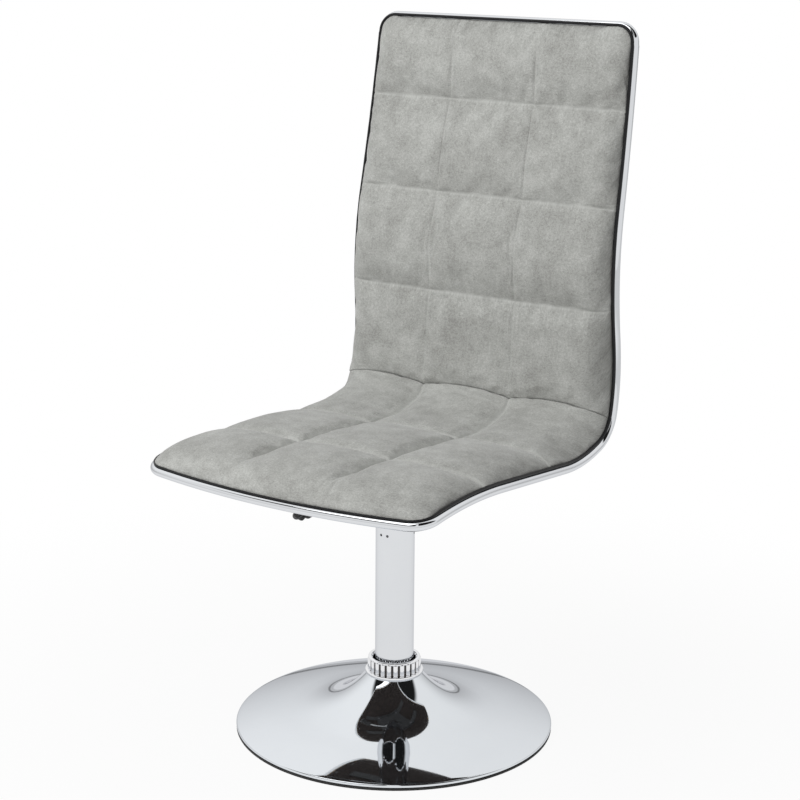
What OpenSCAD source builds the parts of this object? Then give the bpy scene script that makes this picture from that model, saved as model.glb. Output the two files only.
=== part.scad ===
// Swivel dining chair. A chromed trumpet foot carries a column with a gas spring, and a
// one-piece bent seat and back sits on it, framed by a chromed bar. Millimetres, +Z up,
// the sitter faces -Y. The origin is on the floor, on the column's axis.

/* [Foot] */
// Diameter of the trumpet foot over its rolled rim
foot_d = 410; // [380:5:460]
// Thickness of the foot's pressed sheet
foot_wall = 2; // [1.5:0.25:2.5]
// Outer diameter of the foot's neck, under the collar
neck_d = 60; // [58:0.5:64]
// Height of the neck's top edge
neck_h = 76; // [72:1:84]
// Diameter of the foot's shoulder, under the collar's flange
shoulder_d = 72; // [70:0.5:73]
// Slope of the foot just below its shoulder, in degrees
shoulder_slope = 54; // [48:1:60]
// Slope of the foot where it meets its rolled rim, in degrees
rim_slope = 14; // [10:0.5:18]
// Thickness of the rolled rim
rim_t = 5; // [4:0.5:6]
// Height of the rubber ring under the rim
ring_h = 3; // [2:0.5:5]
// Width of the rubber ring
ring_w = 9; // [6:0.5:14]
// Diameter of the steel ballast disc
ballast_d = 280; // [200:5:300]
// Thickness of the ballast disc
ballast_t = 5; // [3:0.5:5]

/* [Collar] */
// Height of the fluted collar
collar_h = 22; // [20:1:30]
// Diameter over the collar's flange
collar_flange_d = 75; // [73:1:84]
// Thickness of the collar's flange
collar_flange_t = 4.5; // [3:0.5:6]
// Diameter of the opening in the collar's top
collar_mouth_d = 59; // [54:1:60]
// Diameter of the collar's band behind the flutes
collar_band_d = 66; // [65:0.5:70]
// Thickness of the collar's top lip
collar_lip_t = 3; // [2:0.5:4]
// Number of flutes round the collar
flutes = 24; // [16:1:28]
// Radius of one flute
flute_r = 3.6; // [2.5:0.1:4]

/* [Column] */
// Outer diameter of the column tube
column_d = 50; // [46:1:52]
// Wall of the column tube
column_wall = 2; // [1.5:0.5:3]
// Height of the column tube's top edge
column_top = 290; // [270:1:300]
// Length of the guide bush inside the column
bush_len = 60; // [45:1:80]
// Thickness of the bush's top flange
bush_flange_t = 3; // [2:0.5:5]
// Drop from the column's top to the pins that hold the bush
pin_drop = 28; // [15:1:40]
// Radius of one bush pin
pin_r = 1.8; // [1.2:0.1:2.5]
// Angle between the two pins of a pair
pin_pair_angle = 22; // [15:1:40]
// Thickness of the column's end plate
end_plate_t = 4; // [3:0.5:5]
// Height of the end plate above the floor
end_plate_z = 6; // [5.5:0.5:8]

/* [Gas spring] */
// Outer diameter of the gas cylinder
cylinder_d = 28; // [26:0.5:30]
// Wall of the gas cylinder
cylinder_wall = 1.6; // [1:0.1:2]
// Height of the cylinder's lower end, at the lowest seat
cylinder_foot = 62; // [50:1:70]
// Length of the cylinder's tapered top
taper_len = 40; // [30:1:44]
// Radius lost over the taper
taper_drop = 0.7; // [0.4:0.1:1.2]
// Diameter of the piston rod
rod_d = 10; // [8:0.5:12]
// Height of the piston head on the rod
piston_z = 176; // [170:1:190]
// Thickness of the piston head
piston_t = 12; // [8:1:16]
// Thickness of the gland at the cylinder's lower end
gland_t = 10; // [6:1:14]
// Thickness of one bearing race
race_t = 1.2; // [1:0.1:1.6]
// Radius of one bearing ball
ball_r = 1.6; // [1.2:0.1:1.8]
// Number of bearing balls
balls = 10; // [6:1:12]
// Radius of the circle of balls
ball_circle_r = 9; // [8.5:0.1:10]
// Diameter of the valve pin
valve_d = 6; // [4:0.5:7]
// Height that the valve pin stands proud
valve_proud = 6; // [5:0.5:8]

/* [Side line of the seat and back] */
// Height of the piping at the middle of the front edge
front_z = 371.5; // [369:0.5:390]
// Slope of the seat at the front edge, in degrees
front_rise = 11; // [8:1:14]
// Length of the rounded front of the seat
crest_len = 184; // [176:1:192]
// Turn of the rounded front, in degrees
crest_turn = 16; // [13:1:19]
// Length of the rise behind the flat stretch
rise_len = 83; // [75:1:95]
// Turn of that rise, in degrees
rise_turn = 23; // [19:1:27]
// Radius of the bend between seat and back
bend_r = 47; // [44:1:60]
// Turn of the bend, in degrees
bend_turn = 57; // [53:1:60]
// Length of the back's heel
heel_len = 58; // [50:1:70]
// Turn of the heel, in degrees
heel_turn = 15; // [12:1:18]
// Length of the hollow above the heel
hollow_len = 40; // [30:1:50]
// Turn of the hollow, in degrees
hollow_turn = 6.5; // [4:0.5:8]
// Length of the swell behind the sitter's waist
lumbar_len = 160; // [140:1:180]
// Turn of the swell, in degrees
lumbar_turn = 18; // [14:0.5:22]
// Length of the upper back
upper_len = 228; // [200:1:260]
// Turn of the upper back, in degrees
upper_turn = 4.5; // [2:0.5:7]

/* [Outline of the seat and back] */
// Width between the piping's centre lines at the seat
edge_w = 406; // [390:1:430]
// Width between the piping's centre lines at the top
top_edge_w = 380; // [360:1:400]
// Depth of the front edge's bow
front_bow = 18; // [12:1:26]
// Radius of the front corners
front_corner_r = 28; // [24:1:40]
// Radius of the top corners
top_corner_r = 22; // [18:1:32]

/* [Frame, board and covers] */
// Diameter of the chromed bar round the seat and back
bar_d = 11; // [10:0.5:12]
// Diameter of the black piping
piping_d = 4; // [3.5:0.25:4.5]
// Thickness of the bent board
board_t = 10; // [9:0.5:10]
// Thickness of the black lining under the seat
lining_t = 0.4; // [0.3:0.1:0.4]
// Thickness of the padded panel behind the back
back_panel_t = 5; // [4:0.5:8]
// Width of one cross rail
rail_w = 25; // [20:1:28]
// Thickness of one cross rail
rail_t = 4; // [3:0.5:5]
// Length of one cross rail
rail_len = 300; // [200:5:320]
// Length of one tab that ties the board to the bar
tab_len = 38; // [30:1:44]
// Width of one tab
tab_w = 16; // [12:1:20]
// Thickness of one tab
tab_t = 2; // [1.5:0.5:2.5]

/* [Seat plate] */
// Length of each side of the seat plate
plate_w = 150; // [146:1:160]
// Thickness of the seat plate
plate_t = 3; // [2.5:0.5:4]
// Depth of the plate's front and rear flanges
plate_flange = 12; // [8:1:16]
// Distance of the bolts from the plate's edges
bolt_margin = 15; // [13:1:19]
// Diameter of one bolt's shank
bolt_d = 6; // [5:0.5:7]
// Outer diameter of the taper socket
socket_d = 42; // [40:1:46]
// Distance of the lever's pivot from the column's axis
pivot_reach = 32; // [31:1:34]
// Diameter of the lever's pivot pin
pivot_d = 6; // [4:0.5:6.5]

/* [Pads] */
// Height of the seams over the front row of the seat
seat_seam_h = 7; // [6:1:10]
// Height of the pads at the crease between seat and back
crease_h = 26; // [22:1:28]
// Swell of one tuft of the seat above its corners
seat_tuft = 15; // [10:1:20]
// Swell of one tuft of the back above its corners
back_tuft = 9; // [5:1:14]
// Swell of the whole seat towards its middle
seat_crown = 3; // [0:1:6]
// Bulge of the seat's last tufts over the foot of the back, along the side line
crease_wave = 12; // [6:1:14]
// Width of a pad's rounded shoulder
shoulder = 26; // [20:1:32]

/* [Lever] */
// Reach of the grip's inner end from the column's axis
grip_reach = 95; // [88:1:110]
// Distance of the grip's inner end ahead of the column's axis
grip_ahead = 27; // [18:1:40]
// Drop of the grip's inner end under the pivot
grip_fall = 49; // [40:1:60]
// Run of the rod from the pivot to its elbow
elbow_run = 16; // [14:1:20]
// Drop of the elbow under the pivot
elbow_fall = 6; // [4:1:9]
// Diameter of the lever's rod
lever_d = 8; // [7:0.5:8.5]
// Length of the lever's grip
grip_len = 46; // [40:1:55]
// Width of the lever's grip
grip_w = 27; // [20:1:28]
// Thickness of the lever's grip
grip_t = 11; // [10.5:0.5:14]

/* [Hidden] */
$fn = 64;

// Overrun of every cut past the face that it leaves
over = 1;
// Clearance of a seated fit, a running fit, and a soft piece beside its neighbour
seat_gap = 0.05;
run_gap = 0.05;
soft_gap = 0.4;
// Degrees in half a turn, for lengths of arc
half_turn = 180;
quarter_turn = half_turn / 2;

// Foot: the sheet sweeps down from its shoulder, flattens, and dips again to the rim.
// Each row of SWEEP is a share of the run and the slope there, and arcs join the rows.
neck_r = neck_d / 2;
foot_r = foot_d / 2;
column_r = column_d / 2;
shoulder_r = shoulder_d / 2;
rim_z = ring_h + rim_t / 2;
rim_r = foot_r - rim_t / 2;
collar_z = neck_h - collar_flange_t;
shoulder_z = collar_z - 2 * run_gap;
SWEEP = [[0, shoulder_slope], [0.175, 37], [0.355, 19], [0.505, 8.5], [0.615, 7], [1, rim_slope]];
sweep_steps = 6;
sweep_run = rim_r - shoulder_r;
function arc_of(i) = (SWEEP[i + 1][0] - SWEEP[i][0]) * sweep_run
    / (sin(SWEEP[i][1]) - sin(SWEEP[i + 1][1]));
function drop_to(i) = i == 0 ? 0
    : drop_to(i - 1) + arc_of(i - 1) * (cos(SWEEP[i][1]) - cos(SWEEP[i - 1][1]));
sweep_fit = (shoulder_z - rim_z) / drop_to(len(SWEEP) - 1);
neck_bore_r = neck_r - foot_wall;
ballast_lift = 1;
ballast_z = ring_h + ballast_lift;

// Collar, set on the foot's shoulder
collar_bore_r = neck_r + 2 * run_gap + foot_wall / 2;
flute_circle_r = collar_band_d / 2 - flute_r / 2;

// Column and gas spring
column_bore_r = column_r - column_wall;
cylinder_r = cylinder_d / 2;
cylinder_bore_r = cylinder_r - cylinder_wall;
rod_r = rod_d / 2;
race_in_r = ball_circle_r - 2 * ball_r + race_t / 2;
race_out_r = ball_circle_r + 2 * ball_r - race_t / 2;
lower_race_z = end_plate_z + end_plate_t;
ball_z = lower_race_z + race_t + ball_r + run_gap;
upper_race_z = ball_z + ball_r + run_gap;
rod_shoulder_t = 2.5;
rod_tail = 3.5;
clip_t = 1.2;
clip_r = 9;
cage_t = 1.2;
pin_sides = 3;
pin_depth = 2;

// Seat plate: it lies under the flat stretch, as long as that and with its pitch
flat_pitch = front_rise - crest_turn;
flat_len = plate_w;
plate_s = crest_len + flat_len / 2;
bolt_pitch = plate_w - 2 * bolt_margin;
bar_r = bar_d / 2;
piping_r = piping_d / 2;
bar_inset = 0.5;
bar_t = -(bar_r + piping_r);
board_top = -piping_r - soft_gap;
board_low = board_top - board_t;
lining_top = board_low - seat_gap;
rail_top = lining_top - lining_t - seat_gap;
plate_top = rail_top - rail_t;
panel_top = board_low - seat_gap;
bolt_head_h = 4;
bolt_head_r = 5;
nut_wall = 1.5;
nut_barrel_r = bolt_d / 2 + nut_wall;
nut_flange_r = 9;
nut_flange_t = 1.2;
socket_r = socket_d / 2;
lever_r = lever_d / 2;

// Shares of a pad's cell, close together where the pad turns over its border
inner_share = [0, 0.04, 0.12, 0.24, 0.37, 0.5, 0.63, 0.76, 0.88, 0.96, 1];
border_share = [0, 0.03, 0.09, 0.18, 0.3, 0.43, 0.57, 0.71, 0.84, 0.95, 1];
long_share = [0, 0.05, 0.16, 0.32, 0.5, 0.68, 0.84, 0.95, 1];
// Where the seams cross the seat and the back, as shares of their lengths
seat_row_share = [0, 0.325, 0.655, 1];
back_row_share = [0, 0.283, 0.54, 0.787, 1];
// Height of the back's seams, as shares of the height at the crease
back_seam_share = [1, 0.65, 0.42, 0.25, 0.2];
tuft_power = 0.7;
seam_rise_share = 0.4;

// The side line: rows of length, turn and steps, from the front edge to the top
bend_len = bend_r * bend_turn * PI / half_turn;
line_rows = [
    [crest_len, -crest_turn, 6],
    [flat_len, 0, 3],
    [rise_len, rise_turn, 6],
    [bend_len, bend_turn, 11],
    [heel_len, heel_turn, 4],
    [hollow_len, hollow_turn, 2],
    [lumbar_len, -lumbar_turn, 6],
    [upper_len, upper_turn, 5]];

// Step along one arc that starts with heading h and turns by a
function arc_step(len, a, h) = a == 0
    ? [len * cos(h), len * sin(h)]
    : len * half_turn / (a * PI) * [sin(h + a) - sin(h), cos(h) - cos(h + a)];

// Length, place and heading at the start of each row, and at the top
function marks_from(i, s, p, h) = i == len(line_rows) ? [[s, p, h]]
    : concat([[s, p, h]], marks_from(i + 1, s + line_rows[i][0],
        p + arc_step(line_rows[i][0], line_rows[i][1], h), h + line_rows[i][1]));
// The column's axis stands under the middle of the flat stretch
front_y = -arc_step(crest_len, -crest_turn, front_rise)[0] - flat_len / 2 * cos(flat_pitch);
marks = marks_from(0, 0, [front_y, front_z], front_rise);
line_len = marks[len(line_rows)][0];

// Row of the side line that holds the length s
function row_of(s, i = 0) =
    i >= len(line_rows) - 1 || s < marks[i + 1][0] ? i : row_of(s, i + 1);

// Place [y, z] and heading of the side line at the length s
function side_at(s) =
    let (i = row_of(s), m = marks[i], a = line_rows[i][1] * (s - m[0]) / line_rows[i][0])
    [m[1] + arc_step(s - m[0], a, m[2]), m[2] + a];

// Point at x, at the length s of the side line and t proud of it, on the sitter's side
function place(x, s, t) = let (a = side_at(s))
    [x, a[0][0] - t * sin(a[1]), a[0][1] + t * cos(a[1])];

// Lengths that the pieces share: the crease and the back panel's ends
crease_share = 0.8;
crease_s = marks[3][0] + crease_share * bend_len;
panel_s = marks[4][0];
bend_top_z = side_at(crease_s)[0][1];

function half_w(s) = s <= crease_s ? edge_w / 2
    : edge_w / 2 - (edge_w - top_edge_w) / 2 * (s - crease_s) / (line_len - crease_s);

// Outline of the seat and back in [x, s, angle of the outward normal], inset by d
bow_r = (pow(edge_w / 2, 2) + pow(front_bow, 2)) / (2 * front_bow);
corner_x = edge_w / 2 - front_corner_r;
corner_s = bow_r - sqrt(pow(bow_r - front_corner_r, 2) - pow(corner_x, 2));
corner_a = atan2(corner_s - bow_r, corner_x);
top_x = top_edge_w / 2 - top_corner_r;
top_s = line_len - top_corner_r;
bow_steps = 5;
corner_steps = 5;
stations = [for (i = [0 : len(line_rows) - 1]) for (k = [0 : line_rows[i][2] - 1])
    marks[i][0] + line_rows[i][0] * k / line_rows[i][2]];
side_s = [for (s = stations) if (s > corner_s + shoulder / 4 && s < top_s - shoulder / 4) s];

function half_outline(d) = concat(
    [for (i = [0 : bow_steps]) let (a = (corner_a + quarter_turn) * i / bow_steps - quarter_turn)
        [(bow_r - d) * cos(a), bow_r + (bow_r - d) * sin(a), a]],
    [for (i = [1 : corner_steps]) let (a = corner_a * (1 - i / corner_steps))
        [corner_x + (front_corner_r - d) * cos(a), corner_s + (front_corner_r - d) * sin(a), a]],
    [for (s = side_s) [half_w(s) - d, s, 0]],
    [for (i = [0 : corner_steps]) let (a = quarter_turn * i / corner_steps)
        [top_x + (top_corner_r - d) * cos(a), top_s + (top_corner_r - d) * sin(a), a]],
    [[0, line_len - d, quarter_turn]]);

function outline(d) = let (h = half_outline(d), n = len(h))
    concat(h, [for (i = [n - 2 : -1 : 1]) [-h[i][0], h[i][1], half_turn - h[i][2]]]);

// Faces of a closed loop of n rings with k points each
function loop_faces(n, k) = [for (i = [0 : n - 1]) for (j = [0 : k - 1])
    let (a = i * k + j, b = i * k + (j + 1) % k,
        c = ((i + 1) % n) * k + j, d = ((i + 1) % n) * k + (j + 1) % k)
    each [[a, b, c], [b, d, c]]];

// A round bar or cord that runs round the whole outline, inset by d and t proud
module edge_run(d, t, r, sides) {
    path = outline(d);
    ring = [for (q = path) for (k = [0 : sides - 1]) let (a = 360 * k / sides)
        place(q[0] + r * cos(a) * cos(q[2]), q[1] + r * cos(a) * sin(q[2]), t + r * sin(a))];
    polyhedron(ring, loop_faces(len(path), sides), convexity = 10);
}

// Prisms that hold the outline, seen from above under the crease and from the front above it
module outline_prisms(d) {
    h = half_outline(d);
    front = [for (q = h) if (q[1] <= corner_s) [q[0], place(0, q[1], bar_t)[1]]];
    rear = [for (q = h) if (q[1] >= top_s) [q[0], place(0, q[1], bar_t)[2]]];
    reach = line_len;
    linear_extrude(bend_top_z)
        polygon(concat(front, [[edge_w / 2 - d, reach], [d - edge_w / 2, reach]],
            [for (i = [len(front) - 1 : -1 : 1]) [-front[i][0], front[i][1]]]));
    translate([0, reach, 0])
        rotate([90, 0, 0])
            linear_extrude(2 * reach)
                polygon(concat([[edge_w / 2 - d, bend_top_z]], rear,
                    [for (i = [len(rear) - 2 : -1 : 0]) [-rear[i][0], rear[i][1]]],
                    [[d - edge_w / 2, bend_top_z]]));
}

// A sheet between the levels t0 and t1, from the length s0 to s1, inside the outline
module bent_sheet(t0, t1, s0, s1, d) {
    run = concat([s0], [for (s = stations) if (s > s0 + over && s < s1 - over) s], [s1]);
    n = len(run);
    intersection() {
        rotate([90, 0, 90])
            linear_extrude(edge_w, center = true)
                polygon(concat([for (s = run) let (p = place(0, s, t0)) [p[1], p[2]]],
                    [for (i = [n - 1 : -1 : 0]) let (p = place(0, run[i], t1)) [p[1], p[2]]]));
        outline_prisms(d);
    }
}

// Children placed in the seat plate's own frame: its pitch, its middle, t proud
module plate_frame(t = 0) {
    a = side_at(plate_s);
    translate([0, a[0][0], a[0][1]])
        rotate([a[1], 0, 0])
            translate([0, 0, t])
                children();
}

// Children placed at the length s of the side line, t proud of it
module at_line(s, t) {
    a = side_at(s);
    translate([0, a[0][0], a[0][1]])
        rotate([a[1], 0, 0])
            translate([0, 0, t])
                children();
}

// The four bolt places in the plate's frame
module at_bolts() {
    for (x = [-1, 1], y = [-1, 1])
        translate([x * bolt_pitch / 2, y * bolt_pitch / 2, 0])
            children();
}

// A round bar between two points
module bar_between(a, b, r) {
    v = b - a;
    translate(a)
        rotate([0, acos(v[2] / norm(v)), atan2(v[1], v[0])])
            cylinder(h = norm(v), r = r);
}

// A plain ring
module ring(z, h, r_out, r_in) {
    translate([0, 0, z])
        difference() {
            cylinder(h = h, r = r_out);
            translate([0, 0, -over])
                cylinder(h = h + 2 * over, r = r_in);
        }
}

// Outline of the foot's sheet below its shoulder, pushed down by d
function sweep_point(i, q, d) = let (a = SWEEP[i][1], b = a + (SWEEP[i + 1][1] - a) * q,
    lean = atan(sweep_fit * tan(b)))
    [shoulder_r + SWEEP[i][0] * sweep_run + arc_of(i) * (sin(a) - sin(b)) - d * sin(lean),
        shoulder_z - sweep_fit * (drop_to(i) + arc_of(i) * (cos(b) - cos(a))) - d * cos(lean)];
function foot_line(d) = concat([sweep_point(0, 0, d)],
    [for (i = [0 : len(SWEEP) - 2], k = [1 : sweep_steps]) sweep_point(i, k / sweep_steps, d)]);

module base_foot() {
    top = foot_line(0);
    low = foot_line(foot_wall);
    color("silver")
        union() {
            rotate_extrude()
                polygon(concat([[neck_r, neck_h], [neck_r, shoulder_z]], top,
                    [for (i = [len(low) - 1 : -1 : 0]) low[i]],
                    [[neck_bore_r, shoulder_z - foot_wall], [neck_bore_r, neck_h]]));
            rotate_extrude()
                translate([rim_r, rim_z])
                    circle(r = rim_t / 2);
        }
}

module floor_ring() {
    color("black")
        ring(0, ring_h, foot_r - rim_t / 2 + ring_w / 4, foot_r - rim_t / 2 - 3 * ring_w / 4);
}

module ballast_disc() {
    color("dimgray")
        ring(ballast_z, ballast_t, ballast_d / 2, column_r + seat_gap);
}

module base_socket() {
    color("dimgray")
        ring(ballast_z + ballast_t, neck_h - ballast_z - ballast_t, neck_bore_r - seat_gap,
            column_r + seat_gap);
}

module collar_ring() {
    flange_r = collar_flange_d / 2;
    band_r = collar_band_d / 2;
    mouth_r = collar_mouth_d / 2;
    valley_r = band_r - flute_r / 4;
    band_z = collar_z + collar_flange_t;
    lip_z = collar_z + collar_h - collar_lip_t;
    top_z = collar_z + collar_h;
    color("silver")
        union() {
            rotate_extrude()
                polygon([[collar_bore_r, collar_z], [flange_r, collar_z], [flange_r, band_z],
                    [valley_r, band_z], [valley_r, lip_z], [band_r, lip_z], [band_r, top_z],
                    [mouth_r, top_z], [mouth_r, band_z], [collar_bore_r, band_z]]);
            for (i = [0 : flutes - 1])
                rotate([0, 0, 360 * i / flutes])
                    difference() {
                        translate([flute_circle_r, 0, band_z - collar_flange_t / 2])
                            cylinder(h = lip_z - band_z + (collar_flange_t + collar_lip_t) / 2,
                                r = flute_r, $fn = 24);
                        translate([0, 0, collar_z])
                            cylinder(h = collar_h, r = (collar_bore_r + valley_r) / 2);
                    }
        }
}

// The pairs of pins that hold the bush in the column
module at_bush_pins() {
    for (k = [0 : pin_sides - 1], side = [-1, 1])
        rotate([0, 0, 360 * k / pin_sides - 90 + side * pin_pair_angle / 2])
            translate([0, 0, column_top - pin_drop])
                rotate([0, 90, 0])
                    children();
}

module column_tube() {
    color("silver")
        difference() {
            ring(ballast_z, column_top - ballast_z, column_r, column_bore_r);
            at_bush_pins()
                cylinder(h = column_d, r = pin_r);
        }
}

module column_bush() {
    color("black")
        difference() {
            union() {
                ring(column_top - bush_len, bush_len, column_bore_r - seat_gap, cylinder_r + run_gap);
                ring(column_top, bush_flange_t, column_r, cylinder_r + run_gap);
            }
            at_bush_pins()
                translate([0, 0, column_bore_r - pin_depth])
                    cylinder(h = column_d, r = pin_r);
        }
}

module bush_pins() {
    color("dimgray")
        at_bush_pins()
            translate([0, 0, column_bore_r - pin_depth])
                cylinder(h = pin_depth + column_wall, r = pin_r - seat_gap);
}

module column_end_plate() {
    color("dimgray")
        ring(end_plate_z, end_plate_t, column_bore_r - seat_gap, rod_r + run_gap);
}

module lower_race() {
    color("lightgray")
        ring(lower_race_z, race_t, race_out_r, race_in_r);
}

module upper_race() {
    color("lightgray")
        ring(upper_race_z, race_t, race_out_r, race_in_r);
}

module at_balls() {
    for (i = [0 : balls - 1])
        rotate([0, 0, 360 * i / balls])
            translate([ball_circle_r, 0, ball_z])
                children();
}

module thrust_balls() {
    color("lightgray")
        at_balls()
            sphere(r = ball_r);
}

module ball_cage() {
    color("darkgoldenrod")
        difference() {
            ring(ball_z - cage_t / 2, cage_t, race_out_r, race_in_r);
            at_balls()
                cylinder(h = 2 * ball_r, r = ball_r + run_gap, center = true);
        }
}

module piston_rod() {
    z0 = upper_race_z + race_t;
    color("silver")
        union() {
            translate([0, 0, end_plate_z - rod_tail])
                cylinder(h = piston_z + piston_t - end_plate_z + rod_tail, r = rod_r);
            ring(z0, rod_shoulder_t, race_out_r, rod_r - over);
        }
}

module retaining_clip() {
    color("dimgray")
        ring(end_plate_z - clip_t - run_gap, clip_t, clip_r, rod_r);
}

module piston() {
    color("dimgray")
        ring(piston_z, piston_t, cylinder_bore_r - run_gap, rod_r);
}

// Levels of the taper, the valve and the lever, upwards
taper_lift = 8.5;
cylinder_top = column_top + taper_len + taper_lift;
valve_top = cylinder_top + valve_proud;
pivot_z = valve_top + lever_r + run_gap;
valve_depth = taper_len / 2;

module gas_cylinder() {
    body_h = cylinder_top - taper_len - cylinder_foot;
    color("black")
        difference() {
            union() {
                translate([0, 0, cylinder_foot])
                    cylinder(h = body_h, r = cylinder_r);
                translate([0, 0, cylinder_top - taper_len])
                    cylinder(h = taper_len, r1 = cylinder_r, r2 = cylinder_r - taper_drop);
            }
            translate([0, 0, cylinder_foot - over])
                cylinder(h = body_h + over, r = cylinder_bore_r);
            translate([0, 0, cylinder_top - valve_depth])
                cylinder(h = valve_depth + over, r = valve_d / 2 + run_gap);
        }
}

module rod_gland() {
    color("dimgray")
        ring(cylinder_foot, gland_t, cylinder_bore_r - seat_gap, rod_r + run_gap);
}

module valve_pin() {
    shank = valve_proud + valve_depth / 2;
    color("silver")
        translate([0, 0, valve_top - shank])
            cylinder(h = shank, r = valve_d / 2);
}

module taper_socket() {
    socket_z = cylinder_top - taper_len + plate_t;
    socket_top = pivot_z + lever_r + plate_t;
    slot_w = lever_d + plate_t;
    wall_share = (socket_z - cylinder_top + taper_len) / taper_len;
    low_r = cylinder_r - taper_drop * wall_share;
    color("dimgray")
        difference() {
            translate([0, 0, socket_z])
                cylinder(h = socket_top - socket_z, r = socket_r);
            translate([0, 0, socket_z])
                cylinder(h = cylinder_top - socket_z, r1 = low_r, r2 = cylinder_r - taper_drop);
            translate([0, 0, socket_z - over])
                cylinder(h = 2 * over, r = low_r);
            translate([0, 0, cylinder_top - over])
                cylinder(h = socket_top - cylinder_top + 2 * over, r = cylinder_r);
            translate([-socket_d, -slot_w / 2, pivot_z - lever_d])
                cube([socket_d, slot_w, socket_top - pivot_z + lever_d + over]);
        }
}

// Ears of the lever, welded under the plate
ear_gap = lever_d + plate_t;
ear_w = 14;
plate_mid_z = side_at(plate_s)[0][1] + (plate_top - plate_t / 2) / cos(flat_pitch);

module seat_plate() {
    pin_hole_r = pivot_d / 2 + seat_gap;
    color("dimgray")
        difference() {
            union() {
                plate_frame(plate_top - plate_t) {
                    translate([-plate_w / 2, -plate_w / 2, 0])
                        cube([plate_w, plate_w, plate_t]);
                    for (y = [-plate_w / 2, plate_w / 2 - plate_t])
                        translate([-plate_w / 2, y, plate_t - plate_flange])
                            cube([plate_w, plate_t, plate_flange]);
                }
                for (y = [-ear_gap / 2 - plate_t, ear_gap / 2])
                    translate([-pivot_reach - ear_w / 2, y, pivot_z - ear_w / 2])
                        cube([ear_w, plate_t, plate_mid_z - pivot_z + ear_w / 2]);
            }
            cylinder(h = front_z, r = socket_r + seat_gap);
            translate([-pivot_reach, 0, pivot_z])
                rotate([90, 0, 0])
                    cylinder(h = 2 * ear_gap + 2 * plate_t, r = pin_hole_r, center = true);
            plate_frame(plate_top - plate_t)
                at_bolts()
                    translate([0, 0, -over])
                        cylinder(h = plate_t + 2 * over, r = bolt_d / 2 + run_gap);
        }
}

module plate_bolts() {
    grip = plate_t + rail_t + board_t - nut_flange_t;
    color("dimgray")
        plate_frame(plate_top - plate_t)
            at_bolts() {
                translate([0, 0, -bolt_head_h])
                    cylinder(h = bolt_head_h, r = bolt_head_r, $fn = 6);
                cylinder(h = grip, r = bolt_d / 2);
            }
}

module tee_nuts() {
    color("silver")
        plate_frame(board_top)
            at_bolts()
                difference() {
                    union() {
                        translate([0, 0, -nut_flange_t])
                            cylinder(h = nut_flange_t, r = nut_flange_r);
                        translate([0, 0, -board_t])
                            cylinder(h = board_t - nut_flange_t, r = nut_barrel_r);
                    }
                    translate([0, 0, -board_t - over])
                        cylinder(h = board_t + 2 * over, r = bolt_d / 2 + run_gap);
                }
}

module cross_rails() {
    color("dimgray")
        plate_frame(plate_top)
            difference() {
                for (y = [-1, 1])
                    translate([-rail_len / 2, y * bolt_pitch / 2 - rail_w / 2, 0])
                        cube([rail_len, rail_w, rail_t]);
                at_bolts()
                    translate([0, 0, -over])
                        cylinder(h = rail_t + 2 * over, r = bolt_d / 2 + run_gap);
            }
}

module frame_bar() {
    color("silver")
        edge_run(bar_inset, bar_t, bar_r, 10);
}

module edge_piping() {
    color("black")
        edge_run(0, 0, piping_r - seat_gap, 6);
}

// Inset of the board inside the bar
board_inset = bar_inset + bar_r + soft_gap;

module shell_board() {
    s0 = board_inset;
    color("burlywood")
        difference() {
            bent_sheet(board_low, board_top, s0, line_len - board_inset, board_inset);
            plate_frame(board_top)
                at_bolts() {
                    translate([0, 0, -nut_flange_t])
                        cylinder(h = nut_flange_t + over, r = nut_flange_r + seat_gap);
                    translate([0, 0, -board_t - over])
                        cylinder(h = board_t + over, r = nut_barrel_r + seat_gap);
                }
            at_tabs(tab_t + 2 * over, soft_gap)
                cylinder(h = screw_bite, r = screw_r);
        }
}

module seat_lining() {
    color("black")
        difference() {
            bent_sheet(lining_top - lining_t, lining_top, board_inset + soft_gap, panel_s,
                board_inset + soft_gap);
            plate_frame(lining_top)
                at_bolts()
                    translate([0, 0, -lining_t - over])
                        cylinder(h = lining_t + 2 * over, r = nut_barrel_r);
        }
}

// Tabs let into the board, which tie it to the bar: two a side on the seat, two on the back
tab_s = [marks[1][0] / 2, marks[2][0] + tab_len, crease_s + (line_len - crease_s) / 3,
    line_len - 2 * tab_len];
screw_r = 2;
screw_bite = 8;
screw_head_r = 3.8;
tab_low = board_low + soft_gap;
tab_end = bar_inset + sqrt(pow(bar_r, 2) - pow(tab_low + tab_t - bar_t, 2));

// Pockets or tabs, h high and widened by gap, with the children at each tab's screw
module at_tabs(h, gap) {
    for (s = tab_s, side = [-1, 1])
        at_line(s, tab_low)
            mirror([(1 - side) / 2, 0, 0]) {
                translate([half_w(s) - tab_end - tab_len - gap, -tab_w / 2 - gap, tab_t - h])
                    cube([tab_len + 2 * gap, tab_w + 2 * gap, h]);
                translate([half_w(s) - tab_end - tab_len * 3 / 4, 0, 0])
                    children();
            }
}

module at_tab_screws() {
    for (s = tab_s, side = [-1, 1])
        at_line(s, tab_low)
            mirror([(1 - side) / 2, 0, 0])
                translate([half_w(s) - tab_end - tab_len * 3 / 4, 0, 0])
                    children();
}

module frame_tabs() {
    color("dimgray")
        difference() {
            at_tabs(tab_t, 0);
            at_tab_screws()
                screw_form(run_gap);
        }
}

// A countersunk screw, widened by gap
module screw_form(gap) {
    cylinder(h = tab_t, r1 = screw_head_r + gap, r2 = screw_r + gap);
    translate([0, 0, tab_t - screw_r / 2])
        cylinder(h = screw_bite - tab_t, r = screw_r + gap);
}

module tab_screws() {
    color("silver")
        at_tab_screws()
            screw_form(0);
}

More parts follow.
